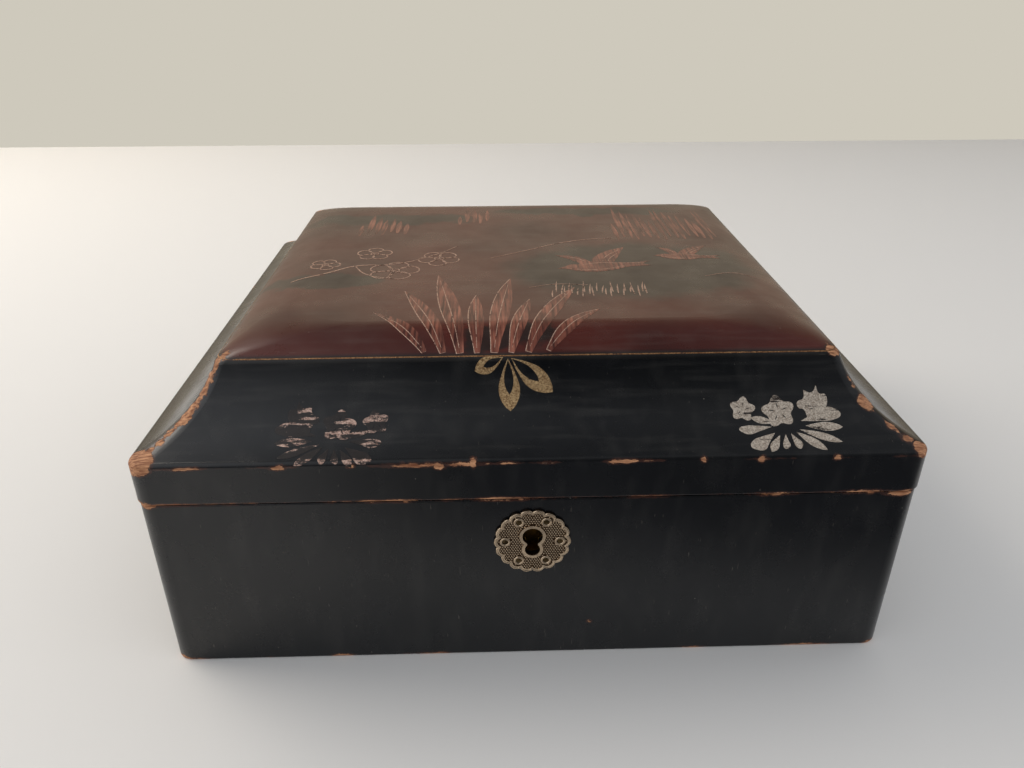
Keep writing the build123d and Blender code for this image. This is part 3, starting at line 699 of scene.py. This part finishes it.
def lay_on(piece, name, surfaces, slices_x=(), slices_y=(), tilt=0.0, origin=(0, 0, 0), thick=0.05):
    """Cuts a flat drawing into strips, drops it square to its own plane on the surfaces and gives it body."""
    piece.name = piece.data.name = name
    with editing(piece):
        for at in slices_x:
            cut(at * MM, (1, 0, 0))
        for at in slices_y:
            cut(at * MM, (0, 1, 0))
    piece.rotation_euler = (math.radians(tilt), 0, 0)
    piece.location = [v * MM for v in origin]
    bpy.context.view_layer.update()
    apply_modifier(piece, "SHRINKWRAP", wrap_method="PROJECT", use_project_z=True,
                   use_negative_direction=True, use_positive_direction=False,
                   target=surfaces[0], auxiliary_target=surfaces[-1])
    apply_modifier(piece, "SOLIDIFY", thickness=thick * MM, offset=1)
    settle(piece)
    bpy.ops.object.shade_smooth_by_angle(angle=math.radians(35))
    return piece


def steps(first, last, pitch):
    return [first + pitch * i for i in range(int((last - first) / pitch) + 1)]


# ---- sprinkled ornament on the front slope ----
# It is drawn on a plane leaning 45 degrees, whose Y = 0 is the rim's arris.
COVE_PLANE = (0, -HALF_D - 20, ARRIS + 20)


def on_front_cove(piece, name):
    surfaces = (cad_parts["front_cove"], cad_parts["top_board"])
    return lay_on(piece, name, surfaces, slices_y=steps(1.0, 37.0, 1.0), tilt=45, origin=COVE_PLANE)


# A spray round its own root: leaf shape, gap from the root and turn; then open flowers as place, radius and
# turn; then the outline of one bell seen from its side, and where it hangs.
SPRAY_LEAVES = [
    (leaf(8.0, 2.4), 3.0, -76), (paddle(10.5, 3.0), 4.4, -97), (paddle(9.6, 4.4), 4.6, -125),
    (leaf(7.0, 2.6, 0.7), 4.2, -146), (paddle(5.2, 2.3), 3.2, -172), (paddle(5.6, 2.6), 3.2, 156),
    (leaf(10.4, 2.9), 4.0, 128), (leaf(13.4, 2.6), 4.6, 110), (leaf(12.0, 3.0), 6.4, 93),
    (paddle(13.4, 4.6), 5.4, 76),
]
SPRAY_FLOWERS = [(-12.9, 5.6, 4.2, 10), (-1.4, 4.6, 5.5, -8)]
PETAL_SLIT = [(0, 1.0, 1), (0.16, 2.0), (0, 3.0, 1), (-0.16, 2.0)]
BELL = [
    (-1.6, -5.2), (0.6, -5.8), (3.8, -2.6), (5.2, 0.4), (4.6, 2.8), (2.9, 3.0), (2.0, 5.6, 1), (0.3, 3.4),
    (-2.2, 4.2, 1), (-2.4, 1.6), (-4.6, 0.2), (-4.4, -1.6), (-2.8, -2.2),
]
BELL_X, BELL_Y = 9.6, 7.4


def flower_spray(x, y, mirror=False):
    """Three bellflowers over a fan of leaves."""
    flip = -1 if mirror else 1
    pieces = [filled(moved(raised(knots, gap), x, y, turn, 1.0, mirror)) for knots, gap, turn in SPRAY_LEAVES]
    for dx, dy, radius, start in SPRAY_FLOWERS:
        at = (x + flip * dx, y + dy)
        slits = [moved(PETAL_SLIT, *at, start + 72 * petal, radius / 5.0, mirror) for petal in range(5)]
        pieces.append(filled(moved(star(radius, 5, 0.72), *at, start, 1.0, mirror), *slits))
    pieces.append(filled(moved(BELL, x + flip * BELL_X, y + BELL_Y, 0, 1.0, mirror)))
    return joined("spray", pieces)


def leaf_pendant(x, y):
    """Three hollow leaves hanging from the edge of the top."""
    pieces = []
    for length, width, turn, reach in ((10.0, 5.2, -114, 1.6), (16.6, 6.8, 178, 1.0), (17.0, 7.0, 129, 1.4)):
        outer = raised(leaf(length, width), reach)
        hollow = raised(leaf(length * 0.64, width * 0.44, 0.55), reach + 0.5)
        pieces.append(filled(moved(outer, x, y, turn), moved(hollow, x, y, turn), fineness=8))
    return joined("pendant", pieces)


# ---- picture on the top ----
TOP_PLANE = (0, 0, TOP + 10)
EDGE_Y = -HALF_D + COVE_INSET
EDGE_X = HALF_W - COVE_INSET
ROUNDED = 22  # how far in from its edge the top is rounded enough to need slices, mm


def on_top(piece, name, thick):
    """The flat needs no slices; the rounded margin does."""
    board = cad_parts["top_board"]
    slices_y = steps(EDGE_Y + 0.5, EDGE_Y + ROUNDED, 0.9) + steps(-EDGE_Y - ROUNDED, -EDGE_Y - 0.5, 1.5)
    slices_x = steps(-EDGE_X + 1, -EDGE_X + ROUNDED, 1.5) + steps(EDGE_X - ROUNDED, EDGE_X - 1, 1.5)
    return lay_on(piece, name, (board, board), slices_x, slices_y, origin=TOP_PLANE, thick=thick)


def blade(x, y, length, width, lean, turn=0.0, inset=0.0):
    """A reed leaf standing on (x, y), bowed by lean times its length; inset makes it slimmer all round."""
    half = width / 2 - inset
    bow = lean * length
    knots = [(-half * 0.34, inset, 1), (-half + bow * 0.14, length * 0.42),
             (bow * 0.5 - half * 0.7, length * 0.78), (bow, length - inset * 2.5, 1),
             (bow * 0.5 + half * 0.75, length * 0.74), (half + bow * 0.12, length * 0.36),
             (half * 0.34, inset, 1)]
    return moved(knots, x, y, turn)


# Reeds by the water: foot, length, width, how far they bow, and turn.
REEDS = [
    (-34, -86.2, 30, 5.0, -0.20, -27), (-28, -86.6, 47, 6.0, -0.08, -15), (-22.5, -86.8, 62, 7.0, -0.02, -8),
    (-17, -86.8, 40, 5.4, 0.02, -2), (-11.5, -86.8, 57, 6.8, 0.03, 5), (-6, -86.8, 36, 5.2, 0.02, 11),
    (-0.5, -86.6, 50, 6.2, 0.08, 18), (6, -86.2, 31, 5.0, 0.16, 29),
]


def reed_bed(left, right, level, pitch, length):
    """A row of thin uneven strokes, as a dry brush leaves them: foot, length, width, bow and turn."""
    rows = []
    for number in range(int((right - left) / pitch)):
        x = left + pitch * number + (number * 7 % 5) * 0.1
        y = level + (number * 5 % 7) * 0.9
        tall = length * (0.62 + (number * 11 % 13) * 0.045)
        wide = pitch * (0.62 + (number * 3 % 4) * 0.06)
        bow = ((number * 5 % 9) - 4) * 0.0015
        turn = ((number * 7 % 5) - 2) * 0.2
        rows.append((x, y, tall, wide, bow, turn))
    return rows


FAR_REEDS = reed_bed(44, 92, 16, 2.9, 42) + reed_bed(-70, -46, 26, 3.3, 26) + reed_bed(-26, -8, 42, 3.1, 22)
GRASS = [(x, y, length * 0.55, turn * 9) for x, y, length, *_, turn in reed_bed(10, 46, -50, 1.5, 19)]


def reed_rib(x, y, length, _width, lean, turn):
    """The fine line up the middle of a reed leaf."""
    bow = lean * length
    knots = [(0, 2, 0.15), (bow * 0.25, length * 0.5, 0.34), (bow * 0.8, length * 0.9, 0.12)]
    return brushed(moved(knots, x, y, turn))


def plum_flower(x, y, radius, start):
    """Five petals in outline round five short stamens."""
    petal = [(0, 0.22, 0.3), (0.42, 0.55, 0.42), (0.34, 0.98, 0.48), (-0.34, 0.98, 0.48), (-0.42, 0.55, 0.42)]
    petal = [(across * radius, out * radius, width) for across, out, width in petal]
    stamen = [(0, 0, 0.2), (0, radius * 0.36, 0.32)]
    lines = [brushed(moved(petal, x, y, start + 72 * number), closed=True, fineness=4) for number in range(5)]
    lines += [brushed(moved(stamen, x, y, start + 36 + 72 * number), fineness=2) for number in range(5)]
    return lines


# Plum blossom: middle, radius and turn.
PLUM_FLOWERS = [(-50, -20, 9.0, 10), (-33, -6, 7.6, 40), (-60, 1, 6.6, 0), (-78, -12, 5.4, 20)]
# The plum twig with its side shoot, the far shore, and two ripples: knots of place and width.
BRUSH_LINES = [
    [(-88, -30, 0.5), (-76, -22, 0.8), (-66, -14, 0.7), (-50, -12, 0.5), (-34, 0, 0.4), (-26, 10, 0.2)],
    [(-66, -14, 0.5), (-60, -24, 0.4), (-50, -29, 0.2)],
    [(-12, -6, 0.2), (4, 4, 0.4), (18, 13, 0.5), (32, 18, 0.4), (41, 19, 0.2)],
    [(2, -40, 0.2), (12, -37, 0.35), (24, -38, 0.2)],
    [(70, -30, 0.2), (80, -27, 0.35), (90, -30, 0.2)],
]
# A small shore bird in flight, seen from its side and flying along +X: outline, then its inner lines.
PLOVER = [
    (13.0, 0.6, 1), (10.4, 2.2), (8.6, 3.4), (6.2, 3.2), (7.4, 7.0), (11.4, 12.6, 1), (5.6, 10.4), (3.2, 7.0),
    (2.2, 4.4, 1), (0.2, 8.6), (-4.6, 13.4), (-11.5, 16.6, 1), (-8.6, 11.0), (-6.6, 7.0), (-4.6, 3.4, 1),
    (-9.0, 2.2), (-15.6, 2.8, 1), (-13.0, 0.6), (-15.0, -1.2, 1), (-7.6, -1.4), (-2.0, -3.4), (4.0, -3.6),
    (8.6, -1.8), (10.6, -0.2),
]
PLOVER_LINES = [
    [(-1.4, 4.6, 0.16), (-3.6, 8.8, 0.34), (-9.2, 14.2, 0.2)],
    [(-3.0, 4.4, 0.16), (-4.8, 7.6, 0.34), (-7.8, 11.0, 0.2)],
    [(3.6, 5.2, 0.16), (5.2, 8.0, 0.34), (9.4, 11.2, 0.2)],
    [(5.2, 2.6, 0.2), (0.6, 3.4, 0.38), (-5.6, 2.2, 0.3), (-13.4, 1.4, 0.2)],
    [(10.2, 0.4, 0.2), (6.0, -1.6, 0.38), (0.0, -2.2, 0.34), (-6.8, -0.4, 0.2)],
    [(8.7, 1.9, 0.5), (9.3, 1.9, 0.5)],
]
PLOVERS = [(32, -18, 8, 1.35), (67, -7, -6, 0.95)]  # middle, turn and size


def paint_top():
    """Reeds, far reeds and birds in rust-red lacquer, and every fine line in rubbed gold."""
    rust = tinted_lacquer("rust_red_lacquer_paint", "#3C150E", "#7A3626", "#9A5E4A", 0.32)
    pink = sprinkled_metal("rubbed_gold_line", "#D8BAA6", "#A88270", "#4A2016", 0.33, 0.48)

    def painted(name, pieces, thick, material):
        finished(on_top(joined(name, pieces), name, thick), "lid", material)

    painted("reed_gold_rims", [filled(blade(*reed)) for reed in REEDS], 0.035, pink)
    slim = [(x + 0.2, *rest, 0.16) for x, *rest in REEDS]
    painted("near_reeds", [filled(blade(*reed)) for reed in slim], 0.05, rust)
    painted("far_reeds", [filled(blade(*reed), fineness=3) for reed in FAR_REEDS], 0.03, rust)
    lines = [reed_rib(*reed) for reed in REEDS]
    for flower in PLUM_FLOWERS:
        lines += plum_flower(*flower)
    lines += [brushed(knots) for knots in BRUSH_LINES]
    for x, y, length, turn in GRASS:
        knots = [(0, 0, 0.3), (0.3, length * 0.5, 0.6), (0.9, length, 0.1)]
        lines.append(brushed(moved(knots, x, y, turn), fineness=4))
    for place in PLOVERS:
        lines += [brushed(moved(knots, *place, True), fineness=3) for knots in PLOVER_LINES]
    painted("gold_drawing", lines, 0.07, pink)
    painted("plovers", [filled(moved(PLOVER, *place, True)) for place in PLOVERS], 0.04, rust)


def gold_border():
    """The thin line round the foot of the top, a third of a millimetre wide."""
    inset, corner, width = 0.8, 5.0, 0.36
    bpy.ops.mesh.primitive_plane_add(size=1)
    border = bpy.context.object
    border.scale = (2 * (EDGE_X - inset) * MM, 2 * (-EDGE_Y - inset) * MM, 1)
    with editing(settle(border)):
        bpy.ops.mesh.bevel(offset=corner * MM, segments=10, affect="VERTICES")
        bpy.ops.mesh.select_all(action="SELECT")
        bpy.ops.mesh.inset(thickness=width * MM)
        bpy.ops.mesh.delete(type="FACE")
    return border


# ---- keyhole plate and screws ----
KEY_Z = PLATE_Z + 2.2
KEY_ROUND_R, KEY_FOOT_R, KEY_FOOT_DROP = 3.3, 2.5, 5.2
BOSSES, BOSS_RING, BOSS_R = 6, 8.9, 1.75
STUDDED_BOSSES = (1, 2, 4, 5)  # the other two hold the pins
LOBES, LOBE_CROWN, LOBE_CUSP = 18, 12.5, 11.37
PLATE_FACE = PLATE_LOW.y / MM
RIM_WIRE_R, WIRE_R = 0.46, 0.42
BEAD_R, BEAD_FLATTENED = 0.33, 0.8
BEAD_PITCH = 0.84  # real beads stand 0.6 apart; these are as coarse as they need to be to show
BEAD_ROWS_APART = 0.87  # share of the pitch
RIM_CLEAR, KEY_CLEAR, BOSS_CLEAR = 1.2, 1.1, 0.2  # bare field left beside each
STUD_R, STUD_FLATTENED, STUD_BEHIND_FACE = 1.0, 0.42, 0.44
BEAD_BACK, STUD_BACK = 0.04, 0.08  # how far each dome reaches behind its middle


def boss_middle(boss):
    """X and Z of one of the bosses round the keyhole."""
    angle = math.radians(360 / BOSSES * boss)
    return BOSS_RING * math.cos(angle), PLATE_Z + BOSS_RING * math.sin(angle)


def wire(points, radius):
    """A closed half-round wire on the plate's face, through points of X and Z in millimetres."""
    curve = bpy.data.curves.new("wire", "CURVE")
    curve.dimensions = "3D"
    curve.bevel_depth = radius * MM
    curve.bevel_resolution = 2
    spline = curve.splines.new("POLY")
    spline.use_cyclic_u = True
    spline.points.add(len(points) - 1)
    for point, (x, z) in zip(spline.points, points):
        point.co = (x * MM, (PLATE_FACE + radius) * MM, z * MM, 1)
    return flat_mesh(curve)


def arc(x, z, radius, first, last, count):
    """Points along an arc, from the first to the last angle in degrees."""
    turns = [math.radians(first + (last - first) * i / count) for i in range(count)]
    return [(x + radius * math.cos(t), z + radius * math.sin(t)) for t in turns]


def lobed_reach(angle):
    """How far the scalloped edge stands out at an angle in radians."""
    share = 2 * ((angle * LOBES / (2 * math.pi) + 0.5) % 1) - 1
    return LOBE_CUSP + (LOBE_CROWN - LOBE_CUSP) * math.sqrt(max(0.0, 1 - share * share))


def plate_relief(material):
    """The rolled scalloped rim, the rolled border of the keyhole, and the six ringed bosses."""
    rim = []
    for step in range(LOBES * 10):
        angle = 2 * math.pi * step / (LOBES * 10)
        reach = lobed_reach(angle) - WIRE_R
        rim.append((reach * math.cos(angle), PLATE_Z + reach * math.sin(angle)))
    pieces = [wire(rim, RIM_WIRE_R)]
    # The border is two arcs that meet at the keyhole's waist.
    big, small = KEY_ROUND_R + WIRE_R, KEY_FOOT_R + WIRE_R
    down = (KEY_FOOT_DROP ** 2 + big ** 2 - small ** 2) / (2 * KEY_FOOT_DROP)
    half = math.sqrt(big ** 2 - down ** 2)
    above = math.degrees(math.atan2(down, half))
    below = math.degrees(math.atan2(KEY_FOOT_DROP - down, half))
    border = arc(0, KEY_Z, big, -above, 180 + above, 40)
    border += arc(0, KEY_Z - KEY_FOOT_DROP, small, 180 - below, 360 + below, 28)
    pieces.append(wire(border, WIRE_R))
    for boss in range(BOSSES):
        pieces.append(wire(arc(*boss_middle(boss), BOSS_R - 0.4, 0, 360, 20), WIRE_R))
    relief = joined("plate_relief", pieces)
    bpy.ops.object.shade_smooth()
    return finished(relief, "body", material)


def flat_backed(dome, level):
    """Presses a dome's back flat, so that it sits a little sunk in the plate and stays closed."""
    for vertex in dome.data.vertices:
        vertex.co.y = min(vertex.co.y, level * MM)


def repeated(model, name, places):
    """One piece made of copies of a model at places in millimetres; the model goes."""
    copies = []
    for place in places:
        one = copy_of(model)
        one.location = Vector(place) * MM
        copies.append(one)
    bpy.data.objects.remove(model)
    return settle(joined(name, copies))


def plate_matting(material):
    """Rows of punched beads over the plate's sunk field, clear of its border, bosses and rim."""
    bpy.ops.mesh.primitive_uv_sphere_add(segments=8, ring_count=4, radius=BEAD_R * MM,
                                         rotation=(math.radians(90), 0, 0))
    bead = bpy.context.object
    bead.scale = (1, 1, BEAD_FLATTENED)
    flat_backed(settle(bead), BEAD_BACK)
    keep_off = [(0.0, KEY_Z, KEY_ROUND_R + KEY_CLEAR), (0.0, KEY_Z - KEY_FOOT_DROP, KEY_FOOT_R + KEY_CLEAR)]
    keep_off += [(*boss_middle(boss), BOSS_R + BOSS_CLEAR) for boss in range(BOSSES)]
    places = []
    rows = int(LOBE_CROWN / BEAD_PITCH) + 2
    for row in range(-rows, rows + 1):
        for column in range(-rows, rows + 1):
            x = (column + 0.5 * (row % 2)) * BEAD_PITCH
            z = PLATE_Z + row * BEAD_PITCH * BEAD_ROWS_APART
            edge = lobed_reach(math.atan2(z - PLATE_Z, x)) - RIM_CLEAR
            inside = math.hypot(x, z - PLATE_Z) <= edge
            if inside and all(math.hypot(x - a, z - b) >= r for a, b, r in keep_off):
                places.append((x, FIELD_FACE, z))
    matting = repeated(bead, "plate_matting", places)
    bpy.ops.object.shade_smooth()
    return finished(matting, "body", material)


def boss_studs(material):
    """Low domes struck in the four bosses that hold no pin, in a darker metal than the plate."""
    bpy.ops.mesh.primitive_uv_sphere_add(segments=20, ring_count=10, radius=STUD_R * MM)
    stud = bpy.context.object
    stud.scale = (1, STUD_FLATTENED, 1)
    flat_backed(settle(stud), STUD_BACK)
    places = []
    for boss in STUDDED_BOSSES:
        x, z = boss_middle(boss)
        places.append((x, PLATE_FACE + STUD_BEHIND_FACE, z))
    studs = repeated(stud, "boss_studs", places)
    bpy.ops.object.shade_smooth_by_angle(angle=math.radians(40))
    return finished(studs, "body", material)


def loose_parts(node_name):
    """The box of each separate solid of a CAD node, as (lowest corner, highest corner)."""
    with editing(copy_of(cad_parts[node_name])):
        bpy.ops.mesh.remove_doubles(threshold=0.01 * MM)
        bpy.ops.mesh.separate(type="LOOSE")
    boxes = []
    for piece in list(bpy.context.selected_objects):
        corners = [v.co for v in piece.data.vertices]
        boxes.append([Vector([end(c[i] for c in corners) for i in range(3)]) for end in (min, max)])
        bpy.data.objects.remove(piece)
    return sorted(boxes, key=lambda box: tuple(round(v, 5) for v in box[0]))


HEAD_DEPTH = 0.6  # of a screw, as a share of its head's radius
SHANK, POINT = 0.55, 0.1  # as shares of the head's radius


def slotted_screw(head_r, length):
    """A countersunk wood screw pointing along -Z with its head at the origin."""
    head_depth = head_r * HEAD_DEPTH
    middle = (0, 0, -length / 2)
    bpy.ops.mesh.primitive_cylinder_add(vertices=32, radius=head_r, depth=length, location=middle)
    screw = settle(bpy.context.object)
    with editing(screw):
        for level in (head_depth * 0.12, head_depth, length * 0.8):
            cut(-level, (0, 0, 1))
    for vertex in screw.data.vertices:
        if vertex.co.z < -head_depth * 0.9:
            narrow = POINT if vertex.co.z < -length * 0.99 else SHANK
            vertex.co.x *= narrow
            vertex.co.y *= narrow
    bpy.ops.mesh.primitive_cube_add(size=1)
    cutter = bpy.context.object
    cutter.scale = (head_r * 3, head_r * 0.28, head_depth * 0.9)
    settle(cutter)
    apply_modifier(screw, "BOOLEAN", operation="DIFFERENCE", object=cutter, solver="EXACT")
    bpy.data.objects.remove(cutter)
    apply_modifier(screw, "BEVEL", width=0.05 * MM, segments=2, limit_method="ANGLE")
    bpy.ops.object.shade_smooth_by_angle(angle=math.radians(30))
    return screw


def fit_screws(node_name, body, into, material):
    """Slotted screws in place of a node's plain ones; into is the way they point."""
    boxes = loose_parts(node_name)
    low, high = boxes[0]
    axis = max(range(3), key=lambda i: abs(into[i]))
    across = [i for i in range(3) if i != axis]
    model = slotted_screw((high[across[0]] - low[across[0]]) / 2, (high - low)[axis])
    turn = Vector(into).to_track_quat("-Z", "Y").to_matrix().to_4x4()
    screws = []
    for number, (low, high) in enumerate(boxes):
        screw = copy_of(model)
        middle = (low + high) / 2
        middle[axis] = low[axis] if into[axis] > 0 else high[axis]
        # No two slots stand alike.
        spin = Matrix.Rotation(math.radians(25 + 67 * number), 4, "Z")
        screw.matrix_world = Matrix.Translation(middle) @ turn @ spin
        screws.append(settle(screw))
    bpy.data.objects.remove(model)
    piece = joined("slotted_" + node_name, screws)
    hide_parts(node_name)
    return finished(piece, body, material)


# ---- linings ----
THINNED, THINNED_WITHIN = 0.5, 16  # mm of wadding lost at the edge, over this many mm
PUCKER, PUCKERED_WITHIN = 0.13, 9  # mm


def silk_pad(node_name, body, face_up, material):
    """Card with a thin layer of wadding under silk that is drawn over its edges, so that the face thins and
    puckers slightly towards them."""
    low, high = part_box(node_name)
    size = high - low
    bpy.ops.mesh.primitive_grid_add(x_subdivisions=72, y_subdivisions=64, size=1)
    pad = bpy.context.object
    pad.scale = (size.x, size.y, 1)
    pad.location = ((low.x + high.x) / 2, (low.y + high.y) / 2, high.z)
    settle(pad)
    apply_modifier(pad, "SOLIDIFY", thickness=size.z, offset=-1)
    apply_modifier(pad, "BEVEL", width=0.55 * MM, segments=3, limit_method="ANGLE")
    face, inwards = (high.z, -1) if face_up else (low.z, 1)
    for vertex in pad.data.vertices:
        if abs(vertex.co.z - face) > size.z / 2:
            continue
        x, y = vertex.co.x / MM, vertex.co.y / MM
        edge = min(x - low.x / MM, high.x / MM - x, y - low.y / MM, high.y / MM - y)
        thin = THINNED * max(0.0, 1 - edge / THINNED_WITHIN) ** 2
        folds = 1 + math.sin(0.7 * (x + y) + 1.9 * math.sin(0.09 * (x - y)))
        pucker = PUCKER * max(0.0, 1 - edge / PUCKERED_WITHIN) * folds
        vertex.co.z += inwards * (thin + pucker) * MM
    pad.name = pad.data.name = "silk_" + node_name
    bpy.ops.object.shade_smooth()
    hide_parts(node_name)
    return finished(pad, body, material)


# ---- run ----
LACQUERED = ["base_panel"]
for side in ("front", "back", "left", "right"):
    LACQUERED += [side + "_board", "lid_" + side + "_rail", side + "_cove"]
BRASS_NODES = ["lock_plate", "lock_case", "lock_bolt", "strike_plate"]
for side in ("left", "right"):
    BRASS_NODES += [side + "_hinge_body_leaf", side + "_hinge_lid_leaf", side + "_hinge_pin"]

aim_camera()
lay_floor()
light_studio()

dress(LACQUERED, lacquer("black_urushi_on_wood", "#040609", "#080A0E", 0.26))
dress(["top_board"], lacquer("red_urushi_on_wood", "#3A110B", "#501A0F", 0.30, skirt="#0B0807"))

silver = sprinkled_metal("sprinkled_silver_powder", "#E4D8C8", "#A09080", "#2A2019", 0.36, 0.46,
                         (0.22, 1.4, 1.4))
rubbed_silver = sprinkled_metal("rubbed_silver_powder", "#DEC0B0", "#8C6C60", "#1A1210", 0.49, 0.60,
                                (0.22, 1.1, 1.1))
gold = sprinkled_metal("sprinkled_gold_powder", "#CDAE80", "#7A5A38", "#2A1A10", 0.30, 0.44)
worn_gold = sprinkled_metal("worn_gold_line", "#A87E54", "#6A4226", "#3A1A10", 0.30, 0.50, (0.3, 0.3, 1.0))
plate_metal = aged_metal("stamped_nickel_brass", "#E4CCAE", "#54412F", 0.22, worn_high=True)
brass = aged_metal("rolled_brass", "#B08C4A", "#6A4E28", 0.28)
steel = aged_metal("spring_steel", "#8A8C90", "#4C4844", 0.3)
dark_brass = aged_metal("dark_brass_studs", "#6E5C3E", "#1C140C", 0.4)
silk = woven_silk("crimson_plain_silk", "#6E1A1E", "#84262A", "#9A3C3C")
dress(["escutcheon"], plate_metal)
dress(["escutcheon_pins"], dark_brass)
dress(BRASS_NODES, brass)
dress(["bolt_spring"], steel)

NIB = make_nib()
for drawing, name, material in (
        (flower_spray(80.5, 11.4), "right_flower_spray", silver),
        (flower_spray(-62.0, 9.0, mirror=True), "left_flower_spray", rubbed_silver),
        (leaf_pendant(-7.2, 35.2), "leaf_pendant", gold)):
    finished(on_front_cove(drawing, name), "lid", material)
finished(on_top(gold_border(), "gold_border", 0.06), "lid", worn_gold)
paint_top()
bpy.data.objects.remove(NIB)

silk_pad("floor_lining", "body", True, silk)
silk_pad("lid_lining", "lid", False, silk)

plate_relief(plate_metal)
plate_matting(plate_metal)
boss_studs(dark_brass)
for node_name, body, into in (
        ("lock_screws", "body", (0, -1, 0)), ("body_hinge_screws", "body", (0, 0, -1)),
        ("lid_hinge_screws", "lid", (0, 0, 1)), ("strike_screws", "lid", (0, 0, 1))):
    fit_screws(node_name, body, into, brass)
